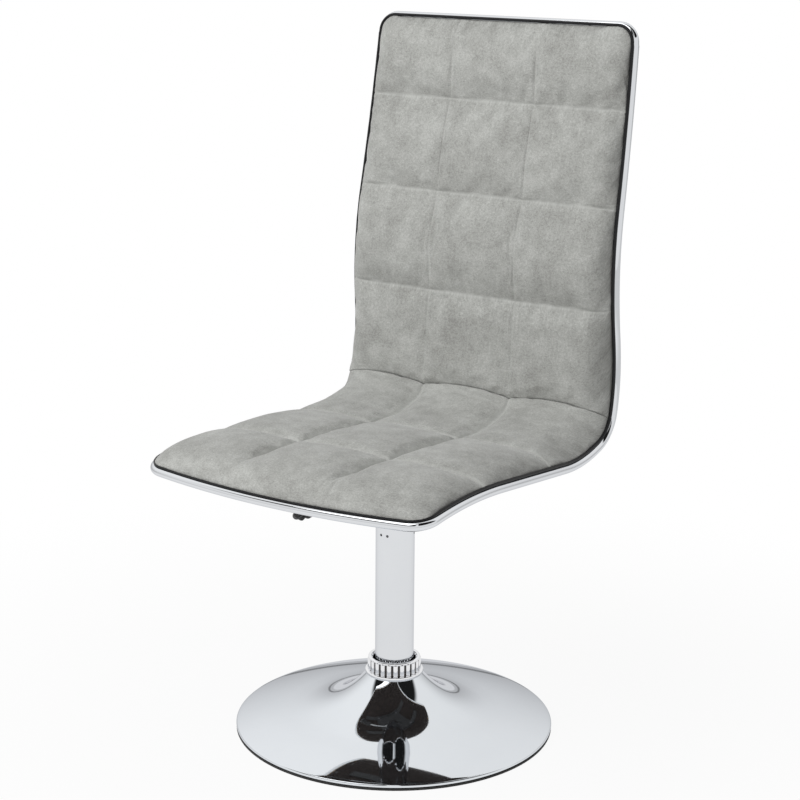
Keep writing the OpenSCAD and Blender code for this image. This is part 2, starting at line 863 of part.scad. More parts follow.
module back_cover() {
    inset = board_inset + soft_gap;
    color([0.62, 0.63, 0.61])
        bent_sheet(panel_top - back_panel_t, panel_top, panel_s + soft_gap,
            line_len - inset, inset);
}

// Pads: a pad's border is inset, its shoulder is round and its tufts swell over the seams
pad_inset = piping_r + soft_gap;
pad_base = board_top + soft_gap;

function front_s(x) = abs(x) <= (bow_r - pad_inset) * cos(corner_a)
    ? bow_r - sqrt(pow(bow_r - pad_inset, 2) - x * x)
    : corner_s - sqrt(max(0, pow(front_corner_r - pad_inset, 2) - pow(abs(x) - corner_x, 2)));
function head_s(x) = abs(x) <= top_x ? line_len - pad_inset
    : top_s + sqrt(max(0, pow(top_corner_r - pad_inset, 2) - pow(abs(x) - top_x, 2)));

function turned(list) = [for (i = [len(list) - 1 : -1 : 0]) 1 - list[i]];
function after_first(list) = [for (i = [1 : len(list) - 1]) list[i]];

// Shares across a pad, as [place from -1 to 1, place within its tuft]
across = concat(
    [for (w = border_share) [-1 + 2 * w / 3, w]],
    [for (w = after_first(inner_share)) [-1 / 3 + 2 * w / 3, w]],
    [for (w = after_first(turned(border_share))) [1 / 3 + 2 * w / 3, w]]);

function swell(w) = pow(sin(half_turn * w), tuft_power);
// A tuft is full in its middle, its seams rise part of the way and its corners stay down
function tuft(a, b) = (1 - seam_rise_share) * a * b
    + seam_rise_share * (1 - (1 - a) * (1 - b));
function round_over(gap) = sqrt(1 - pow(1 - min(gap / shoulder, 1), 2));

// Height of a pad: corners at h, tufts of height b, crown c, gaps to the side and end borders
function pad_t(u, w, v, h, b, c, side_gap, end_gap) =
    pad_base + (h - pad_base + b * tuft(swell(w), swell(v)) + c * (1 - u * u))
    * round_over(side_gap) * round_over(end_gap);

// Rows from a pad's free end to the crease, as [place in its length, row, place in its tuft]
seat_rows = concat(
    [for (w = border_share) [w * seat_row_share[1], 0, w]],
    [for (k = [1, 2]) for (w = after_first(inner_share))
        [seat_row_share[k] + w * (seat_row_share[k + 1] - seat_row_share[k]), k, w]]);
back_rows = concat(
    [for (w = border_share) [1 - w * (1 - back_row_share[3]), 3, 1 - w]],
    [for (k = [2, 1, 0]) for (w = after_first(long_share))
        [back_row_share[k + 1] - w * (back_row_share[k + 1] - back_row_share[k]), k, 1 - w]]);
seat_end = crease_s - soft_gap / 2;
back_end = crease_s + soft_gap / 2;

function seat_point(a, r) =
    let (x = a[0] * (edge_w / 2 - pad_inset), s1 = seat_row_share[1] * seat_end,
        s = r[1] == 0 ? front_s(x) + r[2] * (s1 - front_s(x))
            : r[0] * seat_end + (r[1] == 2 ? crease_wave * swell(a[1]) * pow(r[2], 2) : 0),
        h = seat_seam_h + (crease_h - seat_seam_h) * pow(r[0], 3),
        side_gap = edge_w / 2 - pad_inset - abs(x))
    place(x, s, pad_t(a[0], a[1], r[2], h, seat_tuft, seat_crown * (1 - r[0]),
        side_gap, s - front_s(x)));

function back_point(a, r) =
    let (run = line_len - back_end,
        nominal = back_end + min(r[0] * run, run - top_corner_r),
        x = -a[0] * (half_w(nominal) - pad_inset), s3 = back_end + back_row_share[3] * run,
        s = r[1] == 3 ? s3 + r[2] * (head_s(x) - s3)
            : back_end + r[0] * run
                + (r[1] == 0 ? crease_wave * swell(a[1]) * pow(1 - r[2], 2) : 0),
        k = r[1], h0 = back_seam_share[k], h1 = back_seam_share[k + 1],
        h = crease_h * (h0 + (h1 - h0) * r[2]),
        side_gap = half_w(nominal) - pad_inset - abs(x))
    place(x, s, pad_t(a[0], a[1], r[2], h, back_tuft, 0, side_gap, head_s(x) - s));

// Faces of a pad of rows with n points, and of the n - 2 points under its last row: the flat
// underside, the top, the free end, and the face at the crease, whose triangles lean either way
function pad_faces(rows, n, lean) =
    let (last = (rows - 1) * n, mid = floor(n / 2),
        low = concat([last], [for (i = [0 : n - 3]) rows * n + i], [last + n - 1]))
    concat(
        [for (j = [0 : rows - 3]) let (a = j * n, b = a + n - 1, c = a + n, d = b + n)
            each [[a, b, c], [b, d, c]]],
        [for (j = [0 : rows - 2]) for (i = [0 : n - 2])
            let (a = j * n + i, b = a + 1, c = a + n, d = c + 1)
            each [[a, c, b], [b, c, d]]],
        [for (i = [1 : n - 2]) [0, i, i + 1]],
        [for (i = [0 : n - 2]) [i < mid ? last - n : last - 1, low[i + 1], low[i]]],
        [[last - n, last - 1, low[mid]]],
        [for (i = [0 : n - 3]) lean ? [low[i + 1], last + i + 1, last + i]
            : [low[i], low[i + 1], last + i + 1]],
        [for (i = [1 : n - 2]) lean ? [low[i], low[i + 1], last + i]
            : [low[i], last + i + 1, last + i]]);

// Points across a pad without the two at its sides
inner_across = [for (i = [1 : len(across) - 2]) across[i]];

module seat_cushion() {
    color([0.62, 0.63, 0.61])
        polyhedron(concat([for (r = seat_rows) for (a = across) seat_point(a, r)],
            [for (a = inner_across) place(a[0] * (edge_w / 2 - pad_inset), seat_end, pad_base)]),
            pad_faces(len(seat_rows), len(across), false), convexity = 10);
}

module back_cushion() {
    color([0.62, 0.63, 0.61])
        polyhedron(concat([for (r = back_rows) for (a = across) back_point(a, r)],
            [for (a = inner_across) place(-a[0] * (half_w(back_end) - pad_inset), back_end,
                pad_base)]),
            pad_faces(len(back_rows), len(across), true), convexity = 10);
}

module lever_pin() {
    color("silver")
        translate([-pivot_reach, 0, pivot_z])
            rotate([90, 0, 0])
                cylinder(h = ear_gap + 3 * plate_t, r = pivot_d / 2, center = true);
}

// The lever's rod: from the pivot outwards, then down to the grip
lever_boss_r = pivot_d / 2 + lever_r / 2;
boss_w = (lever_d + ear_gap) / 2;
web_w = 3 * lever_d / 4;
elbow_swell = 0.4;
elbow = [-pivot_reach - elbow_run, 0, pivot_z - elbow_fall];
grip_head = [-grip_reach, -grip_ahead, pivot_z - grip_fall];
grip_way = (grip_head - elbow) / norm(grip_head - elbow);
rod_end = grip_head + grip_way * grip_len / 2;

module lever_arm() {
    inner = [-pivot_reach, 0, pivot_z];
    color("silver")
        difference() {
            union() {
                bar_between(inner, elbow, lever_r);
                translate(elbow)
                    sphere(r = lever_r + elbow_swell);
                bar_between(elbow, rod_end, lever_r);
                translate(inner)
                    rotate([90, 0, 0])
                        cylinder(h = boss_w, r = lever_boss_r, center = true);
                translate([-pivot_reach, -web_w / 2, pivot_z - web_w / 2])
                    cube([pivot_reach, web_w, web_w]);
                translate([0, 0, pivot_z])
                    rotate([90, 0, 0])
                        cylinder(h = web_w, r = lever_r, center = true);
            }
            translate(inner)
                rotate([90, 0, 0])
                    cylinder(h = 2 * boss_w, r = pivot_d / 2 + run_gap, center = true);
        }
}

module lever_grip() {
    turn = atan2(grip_way[1], grip_way[0]);
    tilt = acos(grip_way[2]);
    flat = grip_w - grip_t;
    color("black")
        difference() {
            translate(grip_head)
                rotate([0, tilt, turn])
                    for (k = [-1, 1])
                        translate([0, k * flat / 2, 0])
                            union() {
                                cylinder(h = grip_len - grip_t / 2, r = grip_t / 2);
                                translate([0, 0, grip_len - grip_t / 2])
                                    sphere(r = grip_t / 2);
                                translate([-grip_t / 2, -flat / 2 - k * flat / 2, 0])
                                    cube([grip_t, flat, grip_len - grip_t / 2]);
                            }
            bar_between(elbow, rod_end, lever_r + seat_gap / 2);
        }
}

base_foot();
floor_ring();
ballast_disc();
base_socket();
collar_ring();
column_tube();
column_bush();
bush_pins();
column_end_plate();
lower_race();
upper_race();
thrust_balls();
ball_cage();
piston_rod();
retaining_clip();
piston();
gas_cylinder();
rod_gland();
valve_pin();
taper_socket();
seat_plate();
plate_bolts();
tee_nuts();
cross_rails();
frame_bar();
shell_board();
seat_lining();
frame_tabs();
tab_screws();
back_cover();
seat_cushion();
back_cushion();
edge_piping();
lever_pin();
lever_arm();
lever_grip();
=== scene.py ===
# %% [markdown]
# # A swivel dining chair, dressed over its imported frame
# The chair stands on a chromed trumpet foot. A column and a gas spring carry one bent shell, which
# is both seat and back. A chromed bar and a black piping run round the shell, and its pads are
# quilted in grey brushed cloth. The frame gives every size, so each new piece goes where it says.

# %% Load the frame
import math
import bpy
import bmesh
from mathutils import Matrix, Vector, noise


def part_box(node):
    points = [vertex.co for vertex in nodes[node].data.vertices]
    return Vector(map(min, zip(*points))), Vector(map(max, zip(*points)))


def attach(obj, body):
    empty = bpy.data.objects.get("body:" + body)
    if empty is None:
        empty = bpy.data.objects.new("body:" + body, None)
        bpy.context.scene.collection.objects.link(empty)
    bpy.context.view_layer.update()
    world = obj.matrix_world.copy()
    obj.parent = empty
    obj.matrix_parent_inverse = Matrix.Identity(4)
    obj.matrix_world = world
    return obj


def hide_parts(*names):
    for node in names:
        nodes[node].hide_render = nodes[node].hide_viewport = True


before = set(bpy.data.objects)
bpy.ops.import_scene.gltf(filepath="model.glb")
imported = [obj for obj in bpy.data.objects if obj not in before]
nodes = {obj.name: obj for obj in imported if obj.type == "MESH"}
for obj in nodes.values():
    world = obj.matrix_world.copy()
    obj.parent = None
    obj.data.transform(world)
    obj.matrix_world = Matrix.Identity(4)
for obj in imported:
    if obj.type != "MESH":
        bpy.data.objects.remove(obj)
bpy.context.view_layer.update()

# %% [markdown]
# ## The camera
# The picture was taken with a long lens from the sitter's left, a little over seat height. A camera
# is its place, the point it looks at, its roll and its lens. Turning a matrix's columns into the
# camera's right, up and back axes places it in one step, with no constraint left in the scene.

# %% Camera
def camera_at(place, aim, roll, lens):
    ahead = (aim - place).normalized()
    side = ahead.cross(Vector((0, 0, 1))).normalized()
    above = side.cross(ahead)
    right = side * math.cos(roll) + above * math.sin(roll)
    up = above * math.cos(roll) - side * math.sin(roll)
    camera = bpy.data.objects.new("camera", bpy.data.cameras.new("camera"))
    bpy.context.scene.collection.objects.link(camera)
    camera.data.lens = lens
    camera.data.sensor_width = 36
    camera.matrix_world = Matrix.Translation(place) @ Matrix((right, up, -ahead)).transposed().to_4x4()
    return camera


camera = camera_at(Vector((1.3428, -1.9547, 1.0468)), Vector((0.0039, 0.0027, 0.4340)),
                   math.radians(0.45), 88.11)
bpy.context.scene.camera = camera
bpy.context.scene.view_settings.view_transform = "Standard"
print("camera:", [round(v, 3) for v in camera.location], "lens", camera.data.lens)

# %% [markdown]
# ## Shader maths as plain expressions
# Node trees grow long when every sum is wired by hand. A small class wraps a socket, so that
# adding or multiplying two sockets adds the Math node. Every other node comes from one method,
# which takes the node's type, its settings and what goes into its sockets. The same class serves
# the materials and the world.

# %% Sockets, trees and finishes
class Wire:
    """A socket whose Python maths adds Math nodes."""

    def __init__(self, tree, socket):
        self.tree, self.socket = tree, socket

    def math(self, kind, first, second):
        return self.tree.node("ShaderNodeMath", {"operation": kind}, {0: first, 1: second})

    def __add__(self, other): return self.math("ADD", self, other)
    def __radd__(self, other): return self.math("ADD", other, self)
    def __sub__(self, other): return self.math("SUBTRACT", self, other)
    def __rsub__(self, other): return self.math("SUBTRACT", other, self)
    def __mul__(self, other): return self.math("MULTIPLY", self, other)
    def __rmul__(self, other): return self.math("MULTIPLY", other, self)


class Tree:
    """A node tree that hands out its nodes' sockets as wires."""

    def __init__(self, tree):
        self.tree = tree

    def node(self, kind, settings=None, sockets=None, out=0):
        made = self.tree.nodes.new(kind)
        for key, value in (settings or {}).items():
            setattr(made, key, value)
        for key, value in (sockets or {}).items():
            self.join(value, made.inputs[key])
        return Wire(self, made.outputs[out])

    def join(self, value, socket):
        if isinstance(value, Wire):
            self.tree.links.new(value.socket, socket)
        else:
            socket.default_value = value

    def ramp(self, value, low, high, dark=0.0, light=1.0):
        return self.node("ShaderNodeMapRange", {"interpolation_type": "SMOOTHSTEP"},
                         {0: value, 1: low, 2: high, 3: dark, 4: light})

    def vectors(self, kind, sockets, out="Vector"):
        return self.node("ShaderNodeVectorMath", {"operation": kind}, sockets, out)

    def looked_at(self):
        """1 where a ray comes from the camera, a mirror or a pane, and 0 where it lights a surface."""
        camera, mirror, pane = (self.node("ShaderNodeLightPath", out="Is %s Ray" % kind)
                                for kind in ("Camera", "Glossy", "Transmission"))
        return camera.math("MAXIMUM", camera.math("MAXIMUM", camera, mirror), pane)


class Finish(Tree):
    """A material with one Principled shader, whose sockets are set by name."""

    def __init__(self, name, **even):
        self.material = bpy.data.materials.new(name)
        self.material.use_nodes = True
        super().__init__(self.material.node_tree)
        self.shader = self.tree.nodes["Principled BSDF"]
        self.set(**even)

    def set(self, **sockets):
        for name, value in sockets.items():
            self.join(value, self.shader.inputs[name.replace("_", " ")])

    def place(self, way="Object", size=(1, 1, 1), turn=(0, 0, 0)):
        spot = self.node("ShaderNodeTexCoord", out=way)
        return self.node("ShaderNodeMapping", None, {"Vector": spot, "Scale": size, "Rotation": turn})

    def clouds(self, where, scale, detail, rough):
        return self.node("ShaderNodeTexNoise", None,
                         {"Vector": where, "Scale": scale, "Detail": detail, "Roughness": rough})

    def blend(self, factor, first, second):
        return self.node("ShaderNodeMix", {"data_type": "RGBA"}, {0: factor, 6: first, 7: second}, out=2)

    def bump(self, height, depth, strength):
        return self.node("ShaderNodeBump", None,
                         {"Height": height, "Distance": depth, "Strength": strength})


print("shader maths ready")

# %% [markdown]
# ## The grey brushed cloth
# The cover is a polyester cloth with a worn suede look: pale and dark clouds a few centimetres
# wide, finer flecks where the nap lies in another direction, and a soft sheen. Five noises of
# different scale mix the tones. The cloth's own map is used, so the pattern follows the shell round
# its bend. The attribute "seam" holds the distance to the nearest seam, and close to a seam the
# cloth is painted paler: a painted highlight for the sheen where the squares roll into the seam.

# %% Cloth finish
def tone(red, green, blue):
    """A colour given as it looks on a screen, from 0 to 1."""
    return tuple(((v + 0.055) / 1.055) ** 2.4 for v in (red, green, blue)) + (1.0,)


def suede(name, pale, middle, dark):
    cloth = Finish(name, Sheen_Weight=0.45, Sheen_Roughness=0.4, Specular_IOR_Level=0.25)
    on_cloth = cloth.place("UV")
    drawn = cloth.place("UV", (1.0, 0.45, 1.0), (0, 0, 0.5))
    broad = cloth.clouds(on_cloth, 15.0, 3.0, 0.55)
    patches = cloth.clouds(on_cloth, 52.0, 3.0, 0.6)
    streaks = cloth.clouds(drawn, 150.0, 3.0, 0.65)
    flecks = cloth.clouds(on_cloth, 330.0, 2.0, 0.7)
    specks = cloth.clouds(on_cloth, 760.0, 1.0, 0.7)
    seam = cloth.node("ShaderNodeAttribute", {"attribute_name": "seam"}, out="Fac")
    # painted highlight: a pale band within a few millimetres of each seam, standing for the sheen on the
    # squares' rolled edges
    seam_highlight = cloth.ramp(seam, 0.0025, 0.0070, 1.0, 0.0)
    mix = broad * 0.21 + patches * 0.19 + streaks * 0.08 + flecks * 0.26 + specks * 0.26
    low = cloth.ramp(mix, 0.40, 0.51)
    high = cloth.ramp(mix, 0.49, 0.60)
    colour = cloth.blend(high, cloth.blend(low, dark, middle), pale)
    colour = cloth.blend(seam_highlight * 0.42, colour, pale)
    nap = cloth.clouds(on_cloth, 1100.0, 2.0, 0.7)
    creases = cloth.clouds(drawn, 70.0, 3.0, 0.6)
    relief = nap * 0.3 + specks * 0.3 + flecks * 0.35 + creases * 0.4
    cloth.set(Base_Color=colour, Roughness=cloth.ramp(patches, 0.3, 0.7, 0.95, 0.8),
              Normal=cloth.bump(relief, 0.0006, 0.7))
    return cloth.material


seat_cloth = suede("grey_suede_cloth", tone(0.755, 0.76, 0.745), tone(0.675, 0.678, 0.663),
                   tone(0.585, 0.585, 0.57))
print("cloth:", seat_cloth.name, len(seat_cloth.node_tree.nodes), "nodes")

# %% [markdown]
# ## Metals
# The bar, foot, collar and column are mirror-bright chrome. Real chrome is never quite even:
# handling leaves faint wipes that a noise in the roughness gives, and no polishing wheel reaches
# between the collar's flutes, so the chrome there is rougher, and painted shade makes it dark.
# The hidden steel pieces are duller, and a stretched noise gives them the fine lines of rolling and
# grinding.

# %% Metal finishes
def chrome_plate(name, first, second):
    metal = Finish(name, Metallic=1.0, Specular_Tint=(0.76, 0.76, 0.78, 1))
    where = metal.place()
    wipes = metal.clouds(where, 22.0, 4.0, 0.6)
    grain = metal.clouds(where, 260.0, 2.0, 0.5)
    metal.set(Base_Color=metal.blend(wipes, first, second),
              Roughness=metal.ramp(wipes, 0.35, 0.75, 0.03, 0.06),
              Normal=metal.bump(wipes * 0.7 + grain * 0.3, 0.00002, 0.3))
    return metal.material


def fluted_chrome(name, lip):
    """Chrome that is duller close to the axis, between the flutes and below the lip, and painted dark
    there as shade.
    """
    metal = Finish(name, Metallic=1.0)

    def length(axes):
        return metal.vectors("LENGTH", {0: metal.place(size=axes)}, "Value")

    groove = metal.ramp(length((1, 1, 0)), 0.0321, 0.0338, 1.0, 0.0)
    groove = groove * metal.ramp(length((0, 0, 1)), lip - 0.0004, lip + 0.0002, 1.0, 0.0)
    wipes = metal.clouds(metal.place(), 60.0, 3.0, 0.6)
    bright = metal.blend(wipes, (0.84, 0.85, 0.87, 1), (0.92, 0.92, 0.93, 1))
    # painted shade: the recess between and behind the flutes gets a near-black colour; its higher
    # roughness stands for unpolished chrome
    metal.set(Base_Color=metal.blend(groove, bright, (0.10, 0.09, 0.085, 1)),
              Roughness=groove * 0.36 + 0.04)
    return metal.material


def plain_steel(name, shade, rough, lines=(30, 30, 400)):
    metal = Finish(name, Metallic=1.0)
    drawn = metal.clouds(metal.place(size=lines), 1.6, 3.0, 0.6)
    spots = metal.clouds(metal.place(), 90.0, 3.0, 0.6)
    dark = tuple(v * 0.72 for v in shade) + (1,)
    metal.set(Base_Color=metal.blend(drawn * 0.5 + spots * 0.5, dark, tuple(shade) + (1,)),
              Roughness=metal.ramp(drawn, 0.3, 0.7, rough, rough + 0.16),
              Normal=metal.bump(drawn, 0.00003, 0.5))
    return metal.material


chrome = chrome_plate("chrome_mirror", (0.735, 0.752, 0.775, 1), (0.775, 0.790, 0.810, 1))
foot_chrome = chrome_plate("foot_chrome", (0.755, 0.785, 0.815, 1), (0.79, 0.82, 0.85, 1))
dark_steel = plain_steel("phosphated_steel", (0.16, 0.16, 0.17), 0.45)
bright_steel = plain_steel("zinc_bright_steel", (0.62, 0.63, 0.64), 0.28)
brass = plain_steel("stamped_brass", (0.60, 0.44, 0.17), 0.3)
print("metals:", chrome.name, foot_chrome.name, dark_steel.name, bright_steel.name, brass.name)

# %% [markdown]
# ## Blacks, rubber and wood
# Black surfaces differ by their gloss and their grain. Powder coat has a fine orange peel, the
# moulded grip a matt grain, the rubber ring dust in its pores and the coated piping a wet shine.
# The plywood shows long stretched grain. All of them read the object's own coordinates.

# %% Black, rubber and wood finishes
def grained_black(name, shade, rough, scale, depth, gloss=0.5):
    black = Finish(name, Specular_IOR_Level=gloss)
    where = black.place()
    grain = black.clouds(where, scale, 3.0, 0.6)
    dust = black.clouds(where, 35.0, 4.0, 0.65)
    pale = tuple(v * 1.9 + 0.004 for v in shade) + (1,)
    black.set(Base_Color=black.blend(black.ramp(dust, 0.45, 0.8), tuple(shade) + (1,), pale),
              Roughness=black.ramp(dust, 0.3, 0.7, rough, rough + 0.12),
              Normal=black.bump(grain, depth, 0.5))
    return black.material


def plywood(name):
    wood = Finish(name, Roughness=0.6)
    grain = wood.clouds(wood.place(size=(60, 3, 3)), 3.0, 5.0, 0.65)
    pores = wood.clouds(wood.place(size=(400, 20, 20)), 2.0, 3.0, 0.6)
    colour = wood.blend(wood.ramp(grain, 0.3, 0.7), tone(0.66, 0.52, 0.36), tone(0.82, 0.70, 0.53))
    colour = wood.blend(wood.ramp(pores, 0.55, 0.8, 0.0, 0.5), colour, tone(0.45, 0.33, 0.21))
    wood.set(Base_Color=colour, Normal=wood.bump(grain + pores, 0.0002, 0.5))
    return wood.material


powder_coat = grained_black("black_powder_coat", (0.022, 0.022, 0.023), 0.5, 700.0, 0.00012)
moulded = grained_black("black_moulded_plastic", (0.016, 0.016, 0.017), 0.38, 900.0, 0.0001)
rubber = grained_black("ring_rubber", (0.02, 0.02, 0.02), 0.7, 500.0, 0.0002)
welting = grained_black("black_coated_welting", (0.006, 0.006, 0.007), 0.34, 260.0, 0.00015, 0.3)
dust_cloth = grained_black("black_dust_cloth", (0.022, 0.016, 0.014), 0.85, 1400.0, 0.0003)
ply = plywood("sanded_plywood")
print("blacks:", powder_coat.name, moulded.name, rubber.name, welting.name, dust_cloth.name)

# %% [markdown]
# ## The side line of the shell
# Seen from the side, seat and back are one line of arcs: it rises at the front edge, dips under the
# plate, climbs, turns sharply at the crease and swells behind the sitter's waist. Each row below
# is one arc's length and turn, the same as in the frame. A point is then named by how far across it
# is, how far along the line it is and how proud of the line it stands, and every soft piece uses
# that.

# %% Side line
ARCS = [(0.184, -16), (0.150, 0), (0.083, 23), (0.047 * math.radians(57), 57), (0.058, 15),
        (0.040, 6.5), (0.160, -18), (0.228, 4.5)]
FRONT_Z, FRONT_RISE = 0.3715, 11.0


def arc_step(length, turn, heading):
    a, b = math.radians(heading), math.radians(heading + turn)
    if turn == 0:
        return length * math.cos(a), length * math.sin(a)
    r = length / math.radians(turn)
    return r * (math.sin(b) - math.sin(a)), r * (math.cos(a) - math.cos(b))


def arc_marks():
    y = -arc_step(*ARCS[0], FRONT_RISE)[0] - 0.075 * math.cos(math.radians(FRONT_RISE - 16))
    marks, s, z, heading = [], 0.0, FRONT_Z, FRONT_RISE
    for length, turn in ARCS:
        marks.append((s, y, z, heading))
        dy, dz = arc_step(length, turn, heading)
        s, y, z, heading = s + length, y + dy, z + dz, heading + turn
    return marks, s


MARKS, LINE = arc_marks()
CREASE = MARKS[3][0] + 0.8 * ARCS[3][0]


def place(x, s, t):
    """The point x across, s along the side line and t proud of it."""
    i = max(k for k in range(len(MARKS)) if k == 0 or MARKS[k][0] <= s)
    start, y, z, heading = MARKS[i]
    turn = ARCS[i][1] * (s - start) / ARCS[i][0]
    dy, dz = arc_step(s - start, turn, heading)
    a = math.radians(heading + turn)
    return Vector((x, y + dy - t * math.sin(a), z + dz + t * math.cos(a)))


print("side line: %.1f mm long, crease at %.1f mm" % (LINE * 1000, CREASE * 1000))

# %% [markdown]
# ## The outline
# From above, the front edge bows forward between round corners. The sides run straight back, then
# narrow a little up to the small round corners at the top. The bar and the piping follow this
# outline, and the pads stay inside it.

# %% Outline
HALF_SEAT, HALF_TOP, BOW, FRONT_R, TOP_R = 0.203, 0.190, 0.018, 0.028, 0.022
BOW_R = (HALF_SEAT ** 2 + BOW ** 2) / (2 * BOW)
CORNER_X = HALF_SEAT - FRONT_R
CORNER_S = BOW_R - math.sqrt((BOW_R - FRONT_R) ** 2 - CORNER_X ** 2)
CORNER_A = math.atan2(CORNER_S - BOW_R, CORNER_X)
TOP_X, TOP_S = HALF_TOP - TOP_R, LINE - TOP_R


def half_width(s):
    if s <= CREASE:
        return HALF_SEAT
    return HALF_SEAT - (HALF_SEAT - HALF_TOP) * (s - CREASE) / (LINE - CREASE)


def outline(inset, step):
    """Points (across, along) all round the shell, from the middle of the front edge."""
    right = math.pi / 2
    half = []
    for k in range(24):
        a = -right + (CORNER_A + right) * k / 24
        half.append(((BOW_R - inset) * math.cos(a), BOW_R + (BOW_R - inset) * math.sin(a)))
    for k in range(13):
        a = CORNER_A * (1 - k / 12)
        half.append((CORNER_X + (FRONT_R - inset) * math.cos(a),
                     CORNER_S + (FRONT_R - inset) * math.sin(a)))
    count = int((TOP_S - CORNER_S) / step)
    for k in range(1, count):
        s = CORNER_S + (TOP_S - CORNER_S) * k / count
        half.append((half_width(s) - inset, s))
    for k in range(12):
        a = right * k / 12
        half.append((TOP_X + (TOP_R - inset) * math.cos(a), TOP_S + (TOP_R - inset) * math.sin(a)))
    for k in range(6):
        half.append((TOP_X * (1 - k / 5), LINE - inset))
    return half + [(-x, s) for x, s in reversed(half[1:-1])]


print("outline:", len(outline(0.0, 0.006)), "points")

# %% [markdown]
# ## Turning a bmesh into a piece
# Every new piece ends the same way: its bmesh becomes a mesh, its faces are smooth except at sharp
# edges, it takes a finish, and it rides on a body of the frame. One helper does all of that, and
# a few smaller ones do what comes up with nearly every bmesh.

# %% Finishing helpers
def linked(name, data):
    made = bpy.data.objects.new(name, data)
    bpy.context.scene.collection.objects.link(made)
    return made


def opened(mesh):
    bm = bmesh.new()
    bm.from_mesh(mesh)
    return bm


def written(bm, mesh):
    bm.to_mesh(mesh)
    bm.free()


def outward(bm):
    bmesh.ops.recalc_face_normals(bm, faces=bm.faces)
    return bm


def merged(bm, distance):
    bmesh.ops.remove_doubles(bm, verts=bm.verts, dist=distance)
    return bm


def rounded(bm, edges, size, segments):
    bmesh.ops.bevel(bm, geom=edges, offset=size, affect="EDGES", segments=segments, profile=0.5,
                    material=-1, clamp_overlap=True)


def finished(name, bm, material, body, slot, sharp=35.0, replaces=()):
    mesh = bpy.data.meshes.new(name)
    written(bm, mesh)
    mesh.shade_smooth()
    mesh.set_sharp_from_angle(angle=math.radians(sharp))
    piece = linked(name, mesh)
    mesh.materials.append(material)
    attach(piece, body)
    if replaces:
        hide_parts(*replaces)
    return piece


def settled(piece):
    """Applies what the piece's modifiers give to its mesh."""
    graph = bpy.context.evaluated_depsgraph_get()
    mesh = bpy.data.meshes.new_from_object(piece.evaluated_get(graph), preserve_all_data_layers=True,
                                           depsgraph=graph)
    piece.modifiers.clear()
    piece.data = mesh
    return piece


print("helpers ready")

# %% [markdown]
# ## The quilted pads
# Seat and back are foam under cloth, quilted into squares. Each square swells between the seams,
# the pads roll over at the border, and where they meet the seat's last squares bulge in waves over
# the foot of the back. A grid is laid over the pad, close at the seams and at the rolled border, and
# each of its points is lifted by the form. A crumpled cloth would hide the seams, so they are in
# the grid from the start.

# %% Stations across and along a pad
SHOULDER = 0.029
PAD_INSET, PAD_BASE = 0.0022, -0.0020
SEAT_SEAMS = [0.0, 0.325, 0.655, 1.0]
BACK_SEAMS = [0.0, 0.283, 0.54, 0.787, 1.0]
CROSS_SEAMS = (-1 / 3, 1 / 3)
VALLEY, HILL, GATHER, BULGE, WAVE = 0.0020, 0.0006, 0.00038, 0.0018, 0.012


def border_cell(length, count):
    """Places from a border to the first seam: close over the rolled border, and close at the seam."""
    rest = length - SHOULDER
    roll = [SHOULDER * (1 - math.cos(math.pi / 2 * k / 9)) for k in range(9)]
    far = [SHOULDER + rest * (k / count + 0.5 * math.sin(math.pi * k / count) / math.pi)
           for k in range(count + 1)]
    return [v / length for v in roll + far]


def inner_cell(count):
    return [k / count - 0.5 * math.sin(2 * math.pi * k / count) / (2 * math.pi)
            for k in range(count + 1)]


def across_stations(half):
    cell = 2 * half / 3
    edge, mid = border_cell(cell, 26), inner_cell(34)
    left = [(-1 + 2 * w / 3, w) for w in edge]
    middle = [(-1 / 3 + 2 * w / 3, w) for w in mid[1:]]
    right = [(1 - 2 * w / 3, w) for w in reversed(edge[:-1])]
    return left + middle + right


def swell(w, power):
    return max(0.0, math.sin(math.pi * w)) ** power


def rolled(gap, width=SHOULDER):
    """How far a quarter circle of that width has risen at a gap from the border, from 0 to 1."""
    return math.sqrt(max(0.0, 1 - (1 - min(max(gap, 0.0) / width, 1)) ** 2))


def smooth_step(value, low, high):
    q = min(max((value - low) / (high - low), 0.0), 1.0)
    return q * q * (3 - 2 * q)


def bulge(gap):
    """How far the pad's border swells out over the piping."""
    q = rolled(gap)
    return BULGE * smooth_step(q, 0.06, 0.24) * (1 - smooth_step(q, 0.35, 1.0))


ACROSS = across_stations(HALF_SEAT - PAD_INSET)
print("stations across a pad:", len(ACROSS))

# %% [markdown]
# ## The pads' form
# A pad's height is a seam height, plus the swell of its square, plus the crown. The needle pulls
# the cloth down in a narrow valley at each seam, and gathers it into small puckers that die out
# a centimetre away. A seeded noise shifts the puckers, so that no two squares are alike. The seat's
# front edge is drawn tight over the bar, so its squares begin only a few centimetres behind it.

# %% Height of a pad
CREASE_HIGH, SEAT_FRONT = 0.026, 0.007
BACK_SHARES = [1.0, 0.65, 0.42, 0.25, 0.2]
SEAT_SWELL, BACK_SWELL = 0.86 * 0.0140, 0.86 * 0.009


def near(value, marks, size):
    return min(abs(value - m) for m in marks) * size


def puckers(x, s, gap_x, gap_s):
    """Small gathers that run away from the seams."""
    drift = noise.noise(Vector((x * 22, s * 22, 3.7)))
    wave = 0.0
    for gap, along in ((gap_x, s), (gap_s, x)):
        fade = math.exp(-gap / 0.008) * min(gap / 0.003, 1.0)
        wave += fade * math.sin(2 * math.pi * (along / 0.013 + 1.2 * drift))
    return GATHER * wave


def pad_height(lift, dips, gathers, gap_x, gap_s, side_gap, end_gap, x, s):
    """Height of one point: what lifts it, less the valleys, rolled down at the pad's border."""
    valley = max(dip * math.exp(-(gap / VALLEY) ** 2) for dip, gap in zip(dips, (gap_x, gap_s)))
    hills = HILL * noise.noise(Vector((x * 31, s * 31, 0.5)))
    ripple = gathers * puckers(x, s, gap_x, gap_s)
    return PAD_BASE + (lift - valley + hills + ripple) * rolled(side_gap) * rolled(end_gap)


